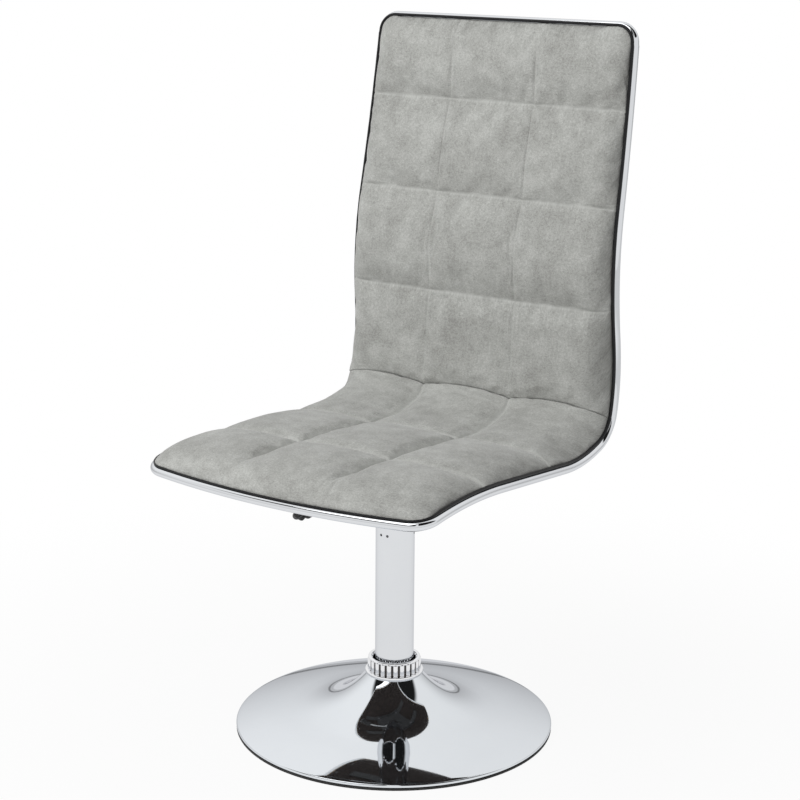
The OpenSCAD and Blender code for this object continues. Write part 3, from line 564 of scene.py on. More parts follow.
def front_line(x):
    if abs(x) <= (BOW_R - PAD_INSET) * math.cos(CORNER_A):
        return BOW_R - math.sqrt((BOW_R - PAD_INSET) ** 2 - x * x)
    return CORNER_S - math.sqrt(max(0.0, (FRONT_R - PAD_INSET) ** 2 - (abs(x) - CORNER_X) ** 2))


def head_line(x):
    if abs(x) <= TOP_X:
        return LINE - PAD_INSET
    return TOP_S + math.sqrt(max(0.0, (TOP_R - PAD_INSET) ** 2 - (abs(x) - TOP_X) ** 2))


def seat_spot(a, w, row, v):
    """Across, along and height of one point of the seat pad, and its gap to the nearest seam."""
    length = CREASE - 0.0002
    x = a * (HALF_SEAT - PAD_INSET)
    r = SEAT_SEAMS[row] + v * (SEAT_SEAMS[row + 1] - SEAT_SEAMS[row])
    first = SEAT_SEAMS[1] * length
    s = front_line(x) + v * (first - front_line(x)) if row == 0 else r * length
    if row == 2:
        s += WAVE * swell(w, 0.6) * v * v
    gap_x = near(a, CROSS_SEAMS, HALF_SEAT)
    gap_s = near(r, SEAT_SEAMS[1:-1], length)
    side, front = HALF_SEAT - PAD_INSET - abs(x), s - front_line(x)
    begun = smooth_step(front, 0.012, 0.085)
    across, along = 1 - begun * (1 - swell(w, 0.26)), swell(v, 0.24)
    dome_x, dome_s = 1 - begun * (1 - swell(w, 1.2)), swell(v, 1.2)
    square = (0.26 * across * along + 0.30 * across * dome_s + 0.32 * dome_x * along
              + 0.12 * (1 - (1 - across) * (1 - along)))
    crown = 0.003 * (1 - r) * (1 - a * a) - 0.0040 * abs(a) ** 3
    lift = SEAT_FRONT + (CREASE_HIGH - SEAT_FRONT) * r ** 3 - PAD_BASE + SEAT_SWELL * square + crown
    t = pad_height(lift, (0.0024 * begun, 0.0030), 0.5 * begun, gap_x, gap_s, side, front, x, s)
    # The seam gap also places the painted highlight beside the seams; near the front edge, where the
    # squares have not begun, it grows and the highlight fades out.
    return x + math.copysign(bulge(side), a), s - bulge(front), t, min(gap_x / (begun + 0.01), gap_s)


def back_spot(a, w, row, v):
    """Across, along and height of one point of the back pad, and its gap to the nearest seam."""
    start = CREASE + 0.0002
    run = LINE - start
    r = BACK_SEAMS[row] + v * (BACK_SEAMS[row + 1] - BACK_SEAMS[row])
    half = half_width(start + min(r * run, run - TOP_R)) - PAD_INSET
    x = a * half
    last = start + BACK_SEAMS[3] * run
    s = last + v * (head_line(x) - last) if row == 3 else start + r * run
    if row == 0:
        s += WAVE * swell(w, 0.6) * (1 - v) ** 2
    gap_x = near(a, CROSS_SEAMS, half)
    gap_s = near(r, BACK_SEAMS[1:-1], run)
    share = BACK_SHARES[row] + v * (BACK_SHARES[row + 1] - BACK_SHARES[row])
    along = swell(v, 0.65)
    lift = CREASE_HIGH * share - PAD_BASE + BACK_SWELL * along * (0.65 + 0.35 * swell(w, 0.7))
    side, head = half - abs(x), head_line(x) - s
    t = pad_height(lift, (0.0005, 0.0016), 0.5, gap_x, gap_s, side, head, x, s)
    # The seam gap is stretched here, which keeps the painted highlight beside the back's seams narrow
    # and faint.
    return x + math.copysign(bulge(side), a), s + bulge(head), t, 2.5 * min(gap_s, gap_x + 0.0015)


print("a middle square of the seat stands %.1f mm proud" % (1000 * seat_spot(0.0, 0.5, 1, 0.5)[2]))

# %% [markdown]
# ## Laying the grid
# The grid operator gives a flat sheet of squares. Each of its points then goes to its place on the
# pad. The sheet keeps three things for later: its map, so that the cloth's pattern follows it, the
# distance to the nearest seam, and a weight that says where the cloth is sewn fast. The middle face
# tells whether the sheet has to be turned over, so that it faces away from the board.

# %% Cloth sheets
def cloth_sheet(columns, rows, spot, facing):
    """A grid whose points take their map, place, seam gap and sewn weight from spot(x, y)."""
    bm = bmesh.new()
    bmesh.ops.create_grid(bm, x_segments=columns, y_segments=rows, size=1.0)
    sewn = bm.verts.layers.deform.new()
    seam = bm.verts.layers.float.new("seam")
    chart = {}
    for vert in bm.verts:
        chart[vert], vert.co, vert[seam], fast = spot(vert.co.x, vert.co.y)
        vert[sewn][0] = 1.0 if fast else 0.0
    uv = bm.loops.layers.uv.new("cloth")
    for face in bm.faces:
        for loop in face.loops:
            loop[uv].uv = chart[loop.vert]
    outward(bm)
    middle = bm.faces[:][len(bm.faces) // 2]
    x, s = chart[middle.verts[0]]
    if middle.normal.dot(place(x, s, facing) - place(x, s, 0.0)) < 0:
        bmesh.ops.reverse_faces(bm, faces=bm.faces)
    return bm


def pad_sheet(spot, rows):
    last_i, last_j = len(ACROSS) - 1, len(rows) - 1

    def point(x, y):
        i, j = round((x + 1) / 2 * last_i), round((y + 1) / 2 * last_j)
        x, s, t, gap = spot(*ACROSS[i], *rows[j])
        return (x, s + t), place(x, s, t), gap, i in (0, last_i) or j in (0, last_j) or gap < 0.0008

    return cloth_sheet(last_i, last_j, point, 1.0)


def along_stations(spot_rows):
    """Rows of a pad as (row, place in the row), from its free border to the crease."""
    stations = []
    for row, cells in spot_rows:
        stations += [(row, v) for v in (cells if not stations else cells[1:])]
    return stations


seat_rows = along_stations([(0, border_cell(0.1476, 30)), (1, inner_cell(38)), (2, inner_cell(40))])
back_rows = along_stations(
    [(3, [1 - w for w in border_cell(0.1055, 20)]), (2, inner_cell(32)[::-1]),
     (1, inner_cell(32)[::-1]), (0, inner_cell(36)[::-1])])
print("seat grid: %d by %d points" % (len(ACROSS), len(seat_rows)))

# %% [markdown]
# ## Letting the cloth settle
# A form worked out by a formula is too even. The sheet is cut a touch larger than the form, sewn
# fast at its seams and its border, and blown up with a little pressure by the cloth solver. The
# spare cloth has nowhere to go and gathers into soft folds beside the seams, as on the real pad.
# No point may move further than a few millimetres, so that the pad stays in its place.

# %% Cloth solver
def relaxed(piece, pressure, spare, limit, frames):
    """Lets the solver blow a sewn sheet up, and returns how far its points moved at most."""
    scene = bpy.context.scene
    start = [v.co.copy() for v in piece.data.vertices]
    piece.vertex_groups.new(name="sewn")
    solver = piece.modifiers.new("solver", "CLOTH")
    cloth = solver.settings
    cloth.quality = 6
    cloth.mass = 0.25
    cloth.tension_stiffness = cloth.compression_stiffness = 18
    cloth.shear_stiffness = 6
    cloth.bending_stiffness = 0.35
    cloth.vertex_group_mass = "sewn"
    cloth.shrink_min = -spare
    cloth.use_pressure = True
    cloth.uniform_pressure_force = pressure
    cloth.effector_weights.gravity = 0
    solver.collision_settings.use_collision = False
    solver.point_cache.frame_start, solver.point_cache.frame_end = 1, frames
    for number in range(1, frames + 1):
        scene.frame_set(number)
    graph = bpy.context.evaluated_depsgraph_get()
    shape = [v.co.copy() for v in piece.evaluated_get(graph).data.vertices]
    piece.modifiers.clear()
    scene.frame_set(1)
    moved = 0.0
    for vert, home, now in zip(piece.data.vertices, start, shape):
        step = now - home
        if step.length > limit:
            step *= limit / step.length
        vert.co = home + step
        moved = max(moved, step.length)
    return moved


# %% [markdown]
# ## Closing the pads
# The settled sheet is only the cover. At the crease it first drops to the board as a wall, which
# the other pad hides. The sheet is subdivided while it is open, because a corner would be drawn
# inwards, and then its side borders are bridged by the flat underside that lies on the board.

# %% Closed pads
SIDE_X = 0.15


def closed(piece):
    """Subdivides an open sheet and closes it underneath, straight across from side to side."""
    smooth = piece.modifiers.new("smooth", "SUBSURF")
    smooth.levels = smooth.render_levels = 1
    settled(piece)
    bm = opened(piece.data)
    rim = [e for e in bm.edges if e.is_boundary]
    sides = [e for e in rim if abs(e.verts[0].co.x) > SIDE_X
             and abs(e.verts[0].co.x - e.verts[1].co.x) < 0.3 * e.calc_length()]
    ends = {v for e in set(rim) - set(sides) for v in e.verts}
    bmesh.ops.bridge_loops(bm, edges=[e for e in sides if ends.isdisjoint(e.verts)])
    bmesh.ops.holes_fill(bm, edges=[e for e in bm.edges if e.is_boundary], sides=0)
    bmesh.ops.triangulate(bm, faces=[f for f in bm.faces if len(f.verts) > 4])
    written(outward(bm), piece.data)
    piece.data.shade_smooth()
    piece.data.set_sharp_from_angle(angle=math.radians(70))
    return piece


def pad(name, spot, rows, node, pressure, spare, limit):
    piece = finished(name, pad_sheet(spot, rows), seat_cloth, "seat", "grey_suede", 60.0, (node,))
    moved = relaxed(piece, pressure, spare, limit, 20)
    bm = opened(piece.data)
    bm.verts.ensure_lookup_table()
    last_row = set(bm.verts[-len(ACROSS):])
    crease = [e for e in bm.edges if e.is_boundary and last_row.issuperset(e.verts)]
    wall = bmesh.ops.extrude_edge_only(bm, edges=crease)["geom"]
    end = CREASE + (0.0002 if spot is back_spot else -0.0002)
    for vert in [g for g in wall if isinstance(g, bmesh.types.BMVert)]:
        vert.co = place(vert.co.x, end, PAD_BASE)
    written(merged(bm, 0.00001), piece.data)
    piece.vertex_groups.clear()
    closed(piece)
    print("%s: %d points, cloth moved up to %.1f mm" % (name, len(piece.data.vertices), moved * 1000))
    return piece


seat_pad = pad("seat_pad", seat_spot, seat_rows, "seat_cushion", 2.0, 0.012, 0.0022)
back_pad = pad("back_pad", back_spot, back_rows, "back_cushion", 3.0, 0.02, 0.004)

# %% [markdown]
# ## Stitches
# The seams are quilted with a grey thread that sinks into the valley. At arm's length one sees
# only a dotted line. Each stitch is one small stretched ball of a few faces, half sunk in the cloth,
# and all the stitches of a pad are one piece.

# %% Stitches along the seams
thread = Finish("grey_thread", Roughness=0.6, Sheen_Weight=0.3)
twist = thread.clouds(thread.place(), 1500.0, 2.0, 0.6)
thread.set(Base_Color=thread.blend(twist, tone(0.60, 0.605, 0.58), tone(0.80, 0.805, 0.78)),
           Normal=thread.bump(twist, 0.0002, 0.6))


STITCH_PITCH, STITCH_SIZE = 0.0056, (0.0019, 0.00042, 0.00036, 1)


def seam_line(spot, seams, start, a=None, row=None):
    """A seam as a line from 0 to 1: along the pad at a, or across it at the start of a row."""
    def line(q):
        if a is None:
            across = -0.995 + 1.99 * q
            return place(*spot(across, ((across + 1) * 1.5) % 1.0, row, 0.0)[:3])
        r = start + 0.985 * q
        k = max(i for i in range(len(seams) - 1) if seams[i] <= r)
        return place(*spot(a, 0.0, k, (r - seams[k]) / (seams[k + 1] - seams[k]))[:3])
    return line


def seam_stitches(name, spot, seams, start):
    lines = [seam_line(spot, seams, start, a=a) for a in CROSS_SEAMS]
    lines += [seam_line(spot, seams, start, row=k) for k in range(1, len(seams) - 1)]
    bm = bmesh.new()
    for line in lines:
        points = [line(k / 600) for k in range(601)]
        gone, last = STITCH_PITCH / 2, points[0]
        for here in points[1:]:
            step = (here - last).length
            gone += step
            if gone >= STITCH_PITCH and step > 0:
                gone -= STITCH_PITCH
                turn = (here - last).normalized().to_track_quat("X", "Z").to_matrix().to_4x4()
                shape = Matrix.Translation(here) @ turn @ Matrix.Diagonal(STITCH_SIZE)
                bmesh.ops.create_uvsphere(bm, u_segments=6, v_segments=4, radius=1.0, matrix=shape)
            last = here
    return finished(name, bm, thread.material, "seat", "grey_suede", 80.0)


seat_stitches = seam_stitches("seat_stitches", seat_spot, SEAT_SEAMS, 0.012)
back_stitches = seam_stitches("back_stitches", back_spot, BACK_SEAMS, 0.003)
print("stitches:", len(seat_stitches.data.polygons) + len(back_stitches.data.polygons), "faces")

# %% [markdown]
# ## Bar and piping
# Both run round the whole outline, so each is a curve through the outline's points with a round
# bevel, turned into a mesh once it is in place. The bar is a true round steel tube. The piping is
# a cord in a coated strip, which ripples a little where it was pulled round the shell, and is
# drawn in tighter behind the bar at the front edge. The strip's flat flange lies on the board
# under the pads, and closes the gap beside them.

# %% Tubes round the outline
TUCK_FROM, TUCK_TO, TAPE_LEVEL = 0.060, 0.022, -0.00232


def round_tube(name, inset, level, radius, ripple=0.0, tuck=0.0):
    """A bmesh of a tube that follows the outline, thinner where it is tucked in at the front."""
    curve = bpy.data.curves.new(name + "_line", "CURVE")
    curve.dimensions = "3D"
    curve.bevel_depth, curve.bevel_resolution = radius, 10
    line = curve.splines.new("POLY")
    path, inner = (outline(v, 0.004 if ripple else 0.003) for v in (inset, inset + tuck))
    line.points.add(len(path) - 1)
    line.use_cyclic_u = True
    for point, (x, s), (inner_x, inner_s) in zip(line.points, path, inner):
        drift = ripple * noise.noise(Vector((x * 60, s * 60, 1.1)))
        q = 1 - smooth_step(s, TUCK_TO, TUCK_FROM)
        at = place(x + q * (inner_x - x), s + q * (inner_s - s), level + drift - q * tuck)
        point.co = at.to_4d()
        point.radius = 1 + (1.6 * drift - q * tuck) / radius
    drawn = linked(name + "_line", curve)
    graph = bpy.context.evaluated_depsgraph_get()
    mesh = bpy.data.meshes.new_from_object(drawn.evaluated_get(graph))
    bpy.data.objects.remove(drawn)
    return outward(merged(opened(mesh), 0.00001))


def add_flange(bm):
    """The piping's flat tape, which lies on the board under the pads' border."""
    rings = []
    for inset in (0.0008, 0.0080):
        points = [bm.verts.new(place(x, s, TAPE_LEVEL)) for x, s in outline(inset, 0.006)]
        rings += [bm.edges.new(pair) for pair in zip(points, points[1:] + points[:1])]
    tape = bmesh.ops.bridge_loops(bm, edges=rings)["faces"]
    bmesh.ops.recalc_face_normals(bm, faces=tape)
    bmesh.ops.solidify(bm, geom=tape, thickness=-0.00018)
    return bm


bar = finished("edge_bar", round_tube("edge_bar", 0.0005, -0.0075, 0.0055), chrome, "seat", "chrome",
               80.0, ("frame_bar",))
cord = add_flange(round_tube("piping", 0.0, 0.0, 0.00195, ripple=0.00008, tuck=0.0007))
piping = finished("piping_cord", cord, welting, "seat", "black_piping", 80.0, ("edge_piping",))
print("bar:", len(bar.data.polygons), "faces, piping:", len(piping.data.polygons), "faces")

# %% [markdown]
# ## The trumpet foot
# The foot is one sheet, spun on a lathe: it sweeps down from a shoulder under the collar, flattens,
# dips again towards the edge, and is rolled round into a lip. So it is made the same way. Half of
# its section is drawn as a closed line, and the spin operator turns it round the column's axis.

# %% Spun pieces
def spun(section, steps):
    """A closed line of (radius, height) points turned once round the column's axis."""
    bm = bmesh.new()
    ring = [bm.verts.new((r, 0, z)) for r, z in section]
    edges = [bm.edges.new((a, b)) for a, b in zip(ring, ring[1:] + ring[:1])]
    bmesh.ops.spin(bm, geom=ring + edges, cent=(0, 0, 0), axis=(0, 0, 1), dvec=(0, 0, 0),
                   angle=2 * math.pi, steps=steps, use_merge=True, use_duplicate=False)
    return outward(merged(bm, 0.000001))


def rounded_edges(bm, size, segments, least):
    sharp = [e for e in bm.edges if len(e.link_faces) == 2
             and e.calc_face_angle(0.0) > math.radians(least)]
    rounded(bm, sharp, size, segments)
    return outward(bm)


print("lathe ready")

# %% The sweep of the sheet
# Each row of SWEEP is a share of the way out and the sheet's slope there, in degrees.
NECK_R, NECK_TOP, SHEET = 0.030, 0.076, 0.002
SHOULDER_R, RIM_R, RIM_Z, LIP = 0.036, 0.2025, 0.0055, 0.0025
SWEEP = [(0, 54), (0.175, 37), (0.355, 19), (0.505, 8.5), (0.615, 7), (1, 14)]
EDGE = math.radians(SWEEP[-1][1])
EDGE_R, EDGE_Z = RIM_R + LIP * math.sin(EDGE), RIM_Z + LIP * math.cos(EDGE)
SHOULDER_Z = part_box("collar_ring")[0].z - 0.0001


def sweep_line(depth, steps):
    """The sheet's section below its shoulder, pushed down by a depth: arcs between slopes."""
    run, drop, line = EDGE_R - SHOULDER_R, 0.0, []
    for (share, slope), (next_share, next_slope) in zip(SWEEP, SWEEP[1:]):
        a, b = math.radians(slope), math.radians(next_slope)
        radius = (next_share - share) * run / (math.sin(a) - math.sin(b))
        for k in range(1 if line else 0, steps + 1):
            lean = a + (b - a) * k / steps
            line.append((SHOULDER_R + share * run + radius * (math.sin(a) - math.sin(lean)),
                         drop + radius * (math.cos(lean) - math.cos(a)), lean))
        drop += radius * (math.cos(b) - math.cos(a))
    fit = (SHOULDER_Z - EDGE_Z) / drop
    leans = [math.atan(fit * math.tan(lean)) for _, _, lean in line]
    return [(r - depth * math.sin(a), SHOULDER_Z - fit * d - depth * math.cos(a))
            for (r, d, _), a in zip(line, leans)]


print("sweep: %d points on one side" % len(sweep_line(0.0, 16)))

# %% Foot and floor ring
top = sweep_line(0.0, 16)
low = [p for p in sweep_line(SHEET, 8) if p[0] < RIM_R - LIP]
lip = [(RIM_R + LIP * math.cos(math.radians(a)), RIM_Z + LIP * math.sin(math.radians(a)))
       for a in range(64, -165, -12)]
section = ([(NECK_R, NECK_TOP), (NECK_R, SHOULDER_Z)] + top + lip + low[::-1]
           + [(NECK_R - SHEET, SHOULDER_Z - SHEET), (NECK_R - SHEET, NECK_TOP)])
foot = finished("trumpet_foot", spun(section, 300), foot_chrome, "base", "chrome", 40.0, ("base_foot",))
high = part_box("floor_ring")[1]
out_r, in_r = high.x, high.x - 0.009
groove = [(in_r + 0.003, 0.0), (in_r + 0.0035, 0.0006), (in_r + 0.0055, 0.0006), (in_r + 0.006, 0.0)]
ring = spun([(in_r, 0.0)] + groove + [(out_r, 0.0), (out_r, high.z), (in_r, high.z)], 144)
finished("floor_rubber", rounded_edges(ring, 0.0005, 2, 70.0), rubber, "base", "black_rubber", 40.0,
         ("floor_ring",))
print("foot:", len(foot.data.polygons), "faces")

# %% [markdown]
# ## The fluted collar
# A cast and chromed ring covers the joint between foot and column. Its flange lies on the foot,
# its flutes stand up like little columns, and a lip closes them at the top. The ring is spun, its
# edges are rounded, and one rounded flute is copied round it.

# %% Collar
FLUTES, FLUTE_R, FLUTE_AT = 24, 0.0036, 0.0309
low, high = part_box("collar_ring")
band_z, lip_z = low.z + 0.0045, high.z - 0.003
body = spun([(0.0311, low.z), (high.x, low.z), (high.x, band_z), (0.0318, band_z), (0.0318, lip_z),
             (0.0334, lip_z), (0.0334, high.z), (0.0295, high.z), (0.0295, band_z),
             (0.0311, band_z)], 120)
rounded_edges(body, 0.0011, 4, 60.0)
for k in range(FLUTES):
    turn = Matrix.Rotation(2 * math.pi * (k + 0.5) / FLUTES, 4, "Z")
    spot = turn @ Matrix.Translation((FLUTE_AT, 0, (band_z + lip_z) / 2 + 0.0002))
    flute = bmesh.ops.create_cone(body, cap_ends=True, segments=18, radius1=FLUTE_R, radius2=FLUTE_R,
                                  depth=lip_z - band_z + 0.0030, matrix=spot)["verts"]
    caps = [e for e in {e for v in flute for e in v.link_edges} if e.calc_face_angle(0.0) > 1.0]
    rounded(body, caps, 0.0022, 5)
collar = finished("fluted_collar", body, fluted_chrome("fluted_chrome", lip_z), "base", "chrome", 40.0,
                  ("collar_ring",))
print("collar:", len(collar.data.polygons), "faces")

# %% [markdown]
# ## Pieces that keep the frame's shape
# Turned and pressed pieces already have their true shape. A copy of such a mesh is welded, so that
# it shades smoothly between its sharp edges, and takes its finish. Pieces that sit inside
# others keep the frame's own mesh and only take a finish.

# %% Smooth copies and hidden pieces
def smooth_copy(name, node, material, body, slot, sharp=30.0):
    bm = merged(opened(nodes[node].data), 0.000002)
    return finished(name, bm, material, body, slot, sharp, (node,))


copies = (("column_sleeve", "column_tube", chrome, "base", "chrome"),
          ("gas_tube", "gas_cylinder", powder_coat, "seat", "black_paint"),
          ("mounting_plate", "seat_plate", powder_coat, "seat", "black_paint"),
          ("taper_sleeve", "taper_socket", powder_coat, "seat", "black_paint"),
          ("lever_rod", "lever_arm", bright_steel, "lever", "bright_steel", 40.0),
          ("guide_bush", "column_bush", moulded, "base", "black_plastic"),
          ("bush_studs", "bush_pins", dark_steel, "base", "dark_steel"))
for copy in copies:
    smooth_copy(*copy)
kept = {dark_steel: ("ballast_disc", "base_socket", "column_end_plate", "retaining_clip", "piston",
                     "plate_bolts", "frame_tabs"),
        bright_steel: ("lower_race", "upper_race", "thrust_balls", "piston_rod", "valve_pin", "tee_nuts",
                       "tab_screws", "lever_pin"),
        brass: ("ball_cage",), moulded: ("rod_gland",), powder_coat: ("cross_rails",),
        ply: ("shell_board",)}
for material, names in kept.items():
    for name in names:
        nodes[name].data.materials.clear()
        nodes[name].data.materials.append(material)
print("finishes on", sum(len(v) for v in kept.values()), "frame nodes,", len(copies), "smooth copies")

# %% [markdown]
# ## The lever's grip
# The grip is a flat moulded paddle with soft finger lobes under its end. A solid built of cylinders
# has hard lines where they meet, so the lobes are set into a copy of it, which is remeshed with a
# fine voxel and smoothed until they flow into each other.

# %% Grip
LOBES = [(-0.1245, -0.0440, 0.2700, 0.0052), (-0.1188, -0.0407, 0.2680, 0.0045),
         (-0.1115, -0.0365, 0.2712, 0.0048), (-0.1080, -0.0345, 0.2722, 0.0036)]
grip = smooth_copy("lever_paddle", "lever_grip", moulded, "lever", "black_plastic", 80.0)
bm = opened(grip.data)
for x, y, z, radius in LOBES:
    bmesh.ops.create_icosphere(bm, subdivisions=3, radius=radius, matrix=Matrix.Translation((x, y, z)))
written(bm, grip.data)
skin = grip.modifiers.new("skin", "REMESH")
skin.mode, skin.voxel_size, skin.use_smooth_shade = "VOXEL", 0.0009, True
soft = grip.modifiers.new("soft", "SMOOTH")
soft.factor, soft.iterations = 0.5, 10
settled(grip)
grip.data.shade_smooth()
print("grip:", len(grip.data.polygons), "faces")

# %% [markdown]
# ## The cover behind the back
# The back's rear is closed by the same cloth over a thin sheet of foam, tucked in behind the bar.
# It is laid like the pads: a grid with a narrow rolled border, let settle by the solver and closed.

# %% Rear cover
COVER_INSET, COVER_TOP, COVER_T = 0.0066, -0.01245, 0.0050
COVER_LOW, COVER_HIGH = MARKS[4][0] + 0.0004, LINE - 0.0068


COVER_ROLL = 0.009


def cover_point(x, y):
    """Map, place, seam gap and whether sewn, of one point of the rear cover."""
    a, q = x * (1.16 - 0.16 * x * x), (y + 1) / 2
    q = q + 0.03 * math.sin(2 * math.pi * q)
    s = COVER_LOW + q * (COVER_HIGH - COVER_LOW)
    half = half_width(s) - COVER_INSET
    if s > TOP_S:
        half -= TOP_R - math.sqrt(max(0.0, TOP_R ** 2 - (s - TOP_S) ** 2))
    gap = min(half * (1 - abs(a)), s - COVER_LOW, COVER_HIGH - s)
    depth = COVER_T + 0.0015 * (1 - a * a) * math.sin(math.pi * min(max(q, 0), 1)) ** 0.5
    soft = 0.0004 * noise.noise(Vector((a * 5, s * 25, 9.3)))
    at = place(a * half, s, COVER_TOP - (depth + soft) * rolled(gap, COVER_ROLL))
    return (a * half, s), at, 0.01, gap < 0.0001


cover = finished("rear_cover", cloth_sheet(70, 90, cover_point, -1.0), seat_cloth, "seat", "grey_suede",
                 60.0, ("back_cover",))
moved = relaxed(cover, 0.8, 0.012, 0.002, 15)
cover.vertex_groups.clear()
closed(cover)
print("rear cover: %d points, moved up to %.1f mm" % (len(cover.data.vertices), moved * 1000))

# %% [markdown]
# ## The dust cloth and its staples
# Under the seat a thin black felt closes the board. It lies on the board's underside, which a ray
# from below finds, and is stretched and stapled near its edge. It sags a hair between the staples,
# but not where the plate and its rails press it flat.

# %% Dust cloth
LINING_INSET, LINING_FRONT, LINING_THICK = 0.0072, 0.0048, 0.00025
RAILS_AT, RAILS_ALONG, RAILS_ACROSS = 0.259, 0.085, 0.160


def under_board(x, s):
    """The point just under the board at a place of the side line, or else None."""
    start = place(x, s, -0.0200)
    inward = (place(x, s, -0.0100) - start).normalized()
    hit, spot, _, _ = nodes["shell_board"].ray_cast(start, inward, distance=0.0085)
    return spot - inward * 0.00012 if hit else None


def dust_sheet():
    bm = bmesh.new()
    bmesh.ops.create_grid(bm, x_segments=60, y_segments=66, size=1.0)
    for vert in bm.verts:
        a, q = vert.co.x, (vert.co.y + 1) / 2
        x = a * (HALF_SEAT - LINING_INSET)
        front = front_line(x) + LINING_FRONT
        s = front + q * (MARKS[4][0] - 0.0006 - front)
        sag = 0.0
        if abs(s - RAILS_AT) >= RAILS_ALONG or abs(x) >= RAILS_ACROSS:
            free = min((1 - abs(a)) * 6, q * 6, (1 - q) * 6, 1.0)
            sag = max(0.0, 0.0007 * free * (0.6 + noise.noise(Vector((x * 14, s * 14, 2.2)))))
        on_board = under_board(x, s) or place(x, s, -0.01252)
        vert.co = on_board + place(x, s, -sag) - place(x, s, 0.0)
    bmesh.ops.solidify(outward(bm), geom=bm.faces[:], thickness=LINING_THICK)
    return finished("dust_sheet", outward(bm), dust_cloth, "seat", "black_cloth", 60.0, ("seat_lining",))


lining = dust_sheet()


STAPLE_LEVEL, STAPLE_SIZE = -0.0131, (0.0085, 0.0006, 0.0005, 1)


def staples():
    bm = bmesh.new()
    across = [(x, 0.0165 + front_line(x)) for x in (-0.15, -0.09, -0.03, 0.03, 0.09, 0.15)]
    across += [(x, 0.452) for x in (-0.15, -0.05, 0.05, 0.15)]
    along = [(side * 0.184, 0.06 + 0.062 * k) for side in (-1, 1) for k in range(7)]
    for x, s in across + along:
        here = place(x, s, STAPLE_LEVEL)
        up = (place(x, s, 0) - here).normalized()
        way = (place(x, s + 0.001, STAPLE_LEVEL) - here).normalized()
        way = Vector((1, 0, 0)) if (x, s) in across else way
        axes = Matrix((way, up.cross(way), up)).transposed().to_4x4()
        shape = Matrix.Translation(here) @ axes @ Matrix.Diagonal(STAPLE_SIZE)
        bmesh.ops.create_cube(bm, size=1.0, matrix=shape)
    rounded(bm, bm.edges[:], 0.0001, 1)
    return finished("lining_staples", bm, bright_steel, "seat", "bright_steel")


tacks = staples()
print("dust cloth:", len(lining.data.polygons), "faces, staples:", len(tacks.data.polygons), "faces")

# %% [markdown]
# ## Studio
# The photograph has a white floor and a white surround, with the light coming softly from the
# sitter's right and from above. The floor and the world look white to the camera
# through Light Path, so that the lamps can stay at a plain level, and the floor still shows a part
# of the chair's shadow. A mirror shows its room, so the chrome sees a pale studio: a far wall that
# is greyer low down over a dark skirting, a near wall with the dark room above it, and one narrow
# strip lamp there.

# %% Floor and world
CAMERA_SIDE, CAMERA_RIGHT = (0.566, -0.824, 0), (0.824, 0.566, 0)
NEAR_WALL, DARK_ROOM = 0.88, 0.012


def white_floor():
    bm = bmesh.new()
    bmesh.ops.create_circle(bm, cap_ends=True, segments=96, radius=9.0)
    mesh = bpy.data.meshes.new("studio_floor")
    written(bm, mesh)
    paper = Finish("white_paper", Roughness=1.0, Base_Color=(0.74, 0.74, 0.74, 1),
                   Specular_IOR_Level=0.0)
    reach = paper.vectors("LENGTH", {0: paper.node("ShaderNodeTexCoord", out="Object")}, "Value")
    seen = paper.node("ShaderNodeLightPath", out="Is Camera Ray")
    # painted pool of light: to mirrors the floor glows brightest near the chair and dimmer further out;
    # to the camera it glows plain white
    painted_light_pool = seen.math("MAXIMUM", paper.ramp(reach, 0.9, 2.6, 0.94, 0.72), seen)
    glow = paper.node("ShaderNodeEmission", None, {"Strength": painted_light_pool})
    white = paper.ramp(reach, 0.3, 1.1, 0.93, 1.0) * paper.looked_at()
    plain = Wire(paper, paper.shader.outputs[0])
    mix = paper.node("ShaderNodeMixShader", None, {0: white, 1: plain, 2: glow})
    paper.join(mix, paper.tree.nodes["Material Output"].inputs["Surface"])
    mesh.materials.append(paper.material)
    linked("studio_floor", mesh)


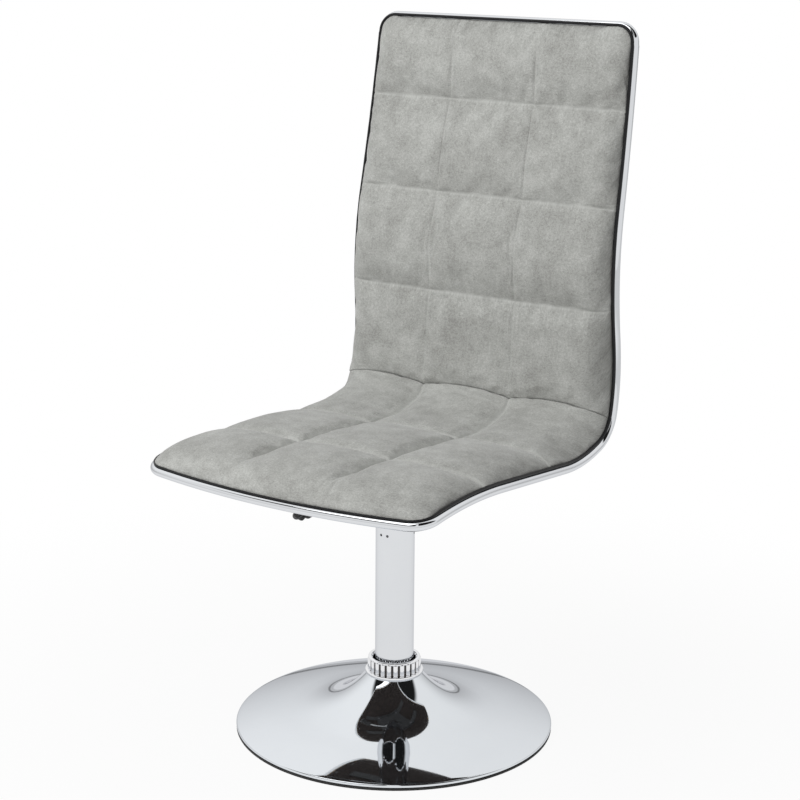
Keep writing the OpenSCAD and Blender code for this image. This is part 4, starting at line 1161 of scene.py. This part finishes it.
def white_world(ambient):
    """White to the camera; to a mirror a pale studio, dark over its near wall."""
    world = bpy.data.worlds.new("studio")
    bpy.context.scene.world = world
    world.use_nodes = True
    room = Tree(world.node_tree)
    way = room.node("ShaderNodeTexCoord", out="Generated")
    height = room.node("ShaderNodeSeparateXYZ", None, {0: way}, "Z")
    level = room.vectors("NORMALIZE", {0: room.vectors("MULTIPLY", {0: way, 1: (1, 1, 0)})})
    ahead = room.vectors("DOT_PRODUCT", {0: level, 1: CAMERA_SIDE}, "Value")
    right = room.vectors("DOT_PRODUCT", {0: level, 1: CAMERA_RIGHT}, "Value")
    far_wall = room.ramp(height, -0.15, 0.55, 0.60, 1.0) * room.ramp(right, -0.25, 0.25, 1.0, 0.92)
    skirting = room.ramp(height, 0.030, 0.045) * room.ramp(height, 0.075, 0.060)
    far_wall = far_wall * room.ramp(skirting, 0.0, 1.0, 1.0, 0.45)
    near = room.ramp(ahead, -0.10, 0.12)
    lamp = room.ramp(ahead, 0.992, 0.997) * room.ramp(height, 0.95, 0.90)
    dark = near * room.ramp(height, 0.46, 0.54) * (1 - lamp)
    walls = far_wall + near * (NEAR_WALL - far_wall)
    shown = walls + dark * (DARK_ROOM - walls)
    shown = shown.math("MAXIMUM", shown, room.node("ShaderNodeLightPath", out="Is Camera Ray"))
    soft = room.tree.nodes["Background"]
    soft.inputs["Color"].default_value = (1, 1, 1, 1)
    soft.inputs["Strength"].default_value = ambient
    seen = room.node("ShaderNodeBackground", None, {"Color": (1, 1, 1, 1), "Strength": shown})
    mix = room.node("ShaderNodeMixShader", None,
                    {0: room.looked_at(), 1: Wire(room, soft.outputs[0]), 2: seen})
    room.join(mix, room.tree.nodes["World Output"].inputs["Surface"])


white_floor()
white_world(0.42)
print("floor and world are white to the camera")

# %% Lamps
def soft_lamp(name, place_at, aim, width, power, mirrored):
    lamp = bpy.data.lights.new(name, "AREA")
    lamp.shape, lamp.size, lamp.size_y, lamp.energy = "RECTANGLE", width, width, power
    holder = linked(name, lamp)
    turn = (Vector(aim) - Vector(place_at)).to_track_quat("-Z", "Y").to_matrix().to_4x4()
    holder.matrix_world = Matrix.Translation(place_at) @ turn
    holder.visible_glossy = mirrored


soft_lamp("key", (-0.95, -2.2, 1.85), (0, 0, 0.5), 1.3, 32.0, mirrored=False)
soft_lamp("top", (-0.4, -1.1, 2.5), (0, 0, 0.4), 1.6, 15.0, mirrored=True)
